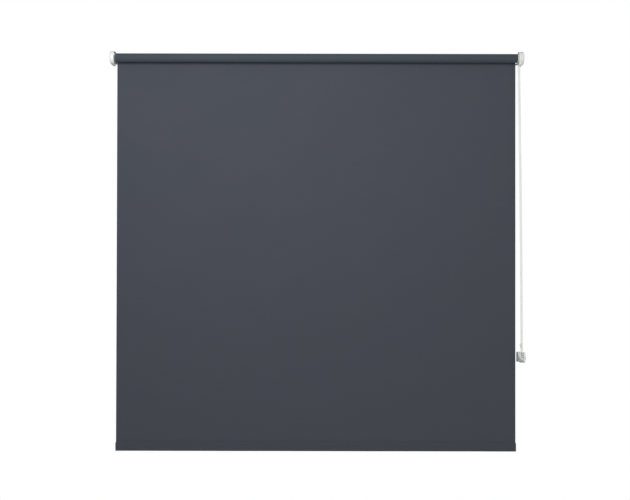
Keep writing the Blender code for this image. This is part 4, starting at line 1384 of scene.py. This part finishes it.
def build_tensioner_cover():
    """The cheek beside the wheel, domed round its edge, with a boss for the axle's head."""
    face = cover_high.x - BOSS
    sections = [(SLOT_RIGHT, side_outline()), *rounded_end(face, 1, COVER_EDGE, 5, side_outline)]
    made = mesh_object("tensioner_cover_visual", lambda bm: add_loft(bm, sections, WHEEL_CENTRE))
    flare = 1.2 * MM
    boss = [
        (face - 1.5 * MM, 0),
        (face - 1.5 * MM, BOSS_RADIUS + flare),
        (face, BOSS_RADIUS + flare),
        (face + 0.3 * MM, BOSS_RADIUS + flare * 0.45),
        (face + 0.8 * MM, BOSS_RADIUS + flare * 0.12),
        (face + 1.4 * MM, BOSS_RADIUS),
        (cover_high.x - 0.4 * MM, BOSS_RADIUS),
        (cover_high.x, BOSS_RADIUS - 0.4 * MM),
        (cover_high.x, 0),
    ]

    def hole(radius, sides, start):
        outline = circle(radius, sides)
        return lambda bm: add_prism(bm, outline, start, cover_high.x + 1 * MM, WHEEL_CENTRE)

    join(made, lambda bm: add_turned(bm, boss, 48, WHEEL_CENTRE))
    cut(made, hole(AXLE_RADIUS + FIT, 32, SLOT_RIGHT - 1 * MM))
    cut(made, hole(axle_head + FIT, 48, cover_high.x - AXLE_HEAD - FIT))
    soften(made, 0.25 * MM)
    return dress(made, WHITE, "frame", "white_plastic", "tensioner_cover")


build_tensioner_cover()

turned_piece(
    "tensioner_axle_visual",
    [
        (axle_low.x, 0),
        (axle_low.x, AXLE_RADIUS - 0.4 * MM),
        (axle_low.x + 0.4 * MM, AXLE_RADIUS),
        (axle_high.x - AXLE_HEAD, AXLE_RADIUS),
        (axle_high.x - AXLE_HEAD, axle_head),
        (axle_high.x - 0.5 * MM, axle_head),
        (axle_high.x, axle_head - 0.8 * MM),
        (axle_high.x, 1.3 * MM),
        (axle_high.x - 0.6 * MM, 1.0 * MM),
        (axle_high.x - 0.6 * MM, 0),
    ],
    STEEL, "frame", "steel", "tensioner_axle", sides=40, centre=WHEEL_CENTRE,
)

wheel_radius = (WHEEL_HIGH.z - WHEEL_LOW.z) / 2
wheel_profile = [(WHEEL_HIGH.x, AXLE_RADIUS + FIT), (WHEEL_LOW.x, AXLE_RADIUS + FIT)]
half_wheel = (WHEEL_HIGH.x - WHEEL_LOW.x) / 2
WHEEL_CLEARANCE = 0.35 * MM
for wheel_step in range(17):
    across_wheel = half_wheel * (wheel_step / 8 - 1)
    hollow = math.sqrt((BEAD_RADIUS + WHEEL_CLEARANCE) ** 2 - across_wheel**2)
    wheel_profile.append((CHAIN_FOOT.x + across_wheel, min(PITCH_RADIUS - hollow, wheel_radius)))
turned_piece(
    "tensioner_wheel_visual",
    wheel_profile,
    NATURAL, "tensioner_wheel", "natural_plastic", "tensioner_wheel", centre=WHEEL_CENTRE, edge=0.15 * MM,
)


CLIP_CORNER = 3 * MM


def build_clip():
    """A plate on the wall, with a T rail that the tensioner slides down onto."""
    face = clip_high.y - CLIP_PLATE
    rail_foot = WHEEL_CENTRE[1] + RAIL_FOOT
    rail_top = WHEEL_CENTRE[1] + RAIL_TOP

    def plate(bm):
        outline = rectangle(clip_low.x, clip_low.z, clip_high.x, clip_high.z)
        add_deep(bm, rounded(outline, CLIP_CORNER, steps=6), face, clip_high.y)

    def rail(bm):
        add_upright(bm, rail_outline(RAIL_MIDDLE, face + 1 * MM, 0), rail_foot, rail_top)

    def holes(bm):
        for at in ((rail_top + clip_high.z) / 2, (rail_foot + clip_low.z) / 2):
            start, end = (RAIL_MIDDLE, face - 1 * MM, at), (RAIL_MIDDLE, clip_high.y + 1 * MM, at)
            add_rod(bm, start, end, HOLE_RADIUS, 32)

    made = mesh_object("tensioner_clip_visual", plate)
    join(made, rail)
    cut(made, holes)
    soften(made, 0.2 * MM)
    return dress(made, NATURAL, "frame", "natural_plastic", "tensioner_clip")


build_clip()


# --- the frame's own nodes that stay ---

KEPT = {
    "roller_tube": BAR_ALUMINIUM,
    "bottom_bar": BAR_ALUMINIUM,
    "fabric_spline": NATURAL,
    "clutch_core": NATURAL,
    "idle_spring_stop": NATURAL,
    "clutch_clip": STEEL,
    "clutch_screw": STEEL,
    "wrap_spring_inner": STEEL,
    "wrap_spring_outer": STEEL,
}
for kept, look in KEPT.items():
    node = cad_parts[kept]
    node.data.materials.clear()
    node.data.materials.append(look)


# --- light and floor ---

scene = bpy.context.scene
scene.view_settings.view_transform = "Standard"
scene.view_settings.look = "None"
scene.view_settings.exposure = 0
scene.view_settings.gamma = 1


def area_light(name, place, target, size, power, colour=(1, 1, 1)):
    data = bpy.data.lights.new(name, "AREA")
    data.shape = "RECTANGLE"
    data.size, data.size_y = size
    data.energy = power
    data.color = colour
    light = bpy.data.objects.new(name, data)
    light.location = place
    light.rotation_euler = (Vector(target) - Vector(place)).to_track_quat("-Z", "Y").to_euler()
    scene.collection.objects.link(light)
    return light


MIDDLE = (0, AXIS_Y, (HEM_FOOT + AXIS_Z) / 2)
area_light("key", (-0.45, -1.6, 0.27), (-0.05, 0, -0.33), (0.9, 0.9), 22.5, (1.0, 1.0, 1.0))
area_light("fill", (2.1, -2.3, -0.2), MIDDLE, (2.0, 2.0), 18, (1.0, 0.96, 0.94))
area_light("back", (0.6, 2.4, 0.4), MIDDLE, (2.4, 1.6), 24)

world = bpy.data.worlds.new("studio")
world.use_nodes = True
scene.world = world
tree = world.node_tree
tree.nodes.clear()
output = tree.nodes.new("ShaderNodeOutputWorld")
seen_white = tree.nodes.new("ShaderNodeBackground")
seen_white.inputs["Color"].default_value = (1, 1, 1, 1)
soft_fill = tree.nodes.new("ShaderNodeBackground")
soft_fill.inputs["Color"].default_value = (0.97, 0.985, 1, 1)
soft_fill.inputs["Strength"].default_value = 0.29
ray = tree.nodes.new("ShaderNodeLightPath")
either = tree.nodes.new("ShaderNodeMixShader")
tree.links.new(ray.outputs["Is Camera Ray"], either.inputs[0])
tree.links.new(soft_fill.outputs[0], either.inputs[1])
tree.links.new(seen_white.outputs[0], either.inputs[2])
tree.links.new(either.outputs[0], output.inputs["Surface"])

FLOOR_Z = HEM_FOOT - 0.45
FLOOR_HALF = 1.6
FLOOR_FRONT = -2.0
FLOOR_BACK = 0.55
FLOOR_CORNER = 0.3


def build_floor(bm):
    outline = rounded(rectangle(-FLOOR_HALF, FLOOR_FRONT, FLOOR_HALF, FLOOR_BACK), FLOOR_CORNER, 8)
    verts = [bm.verts.new((x, y, FLOOR_Z)) for x, y in outline]
    bm.faces.new(verts)


floor = mesh_object("floor", build_floor)
floor.data.materials.append(plastic("floor_paint", (0.86, 0.86, 0.86), 0.7, grain=0.0, mottling=0.01))

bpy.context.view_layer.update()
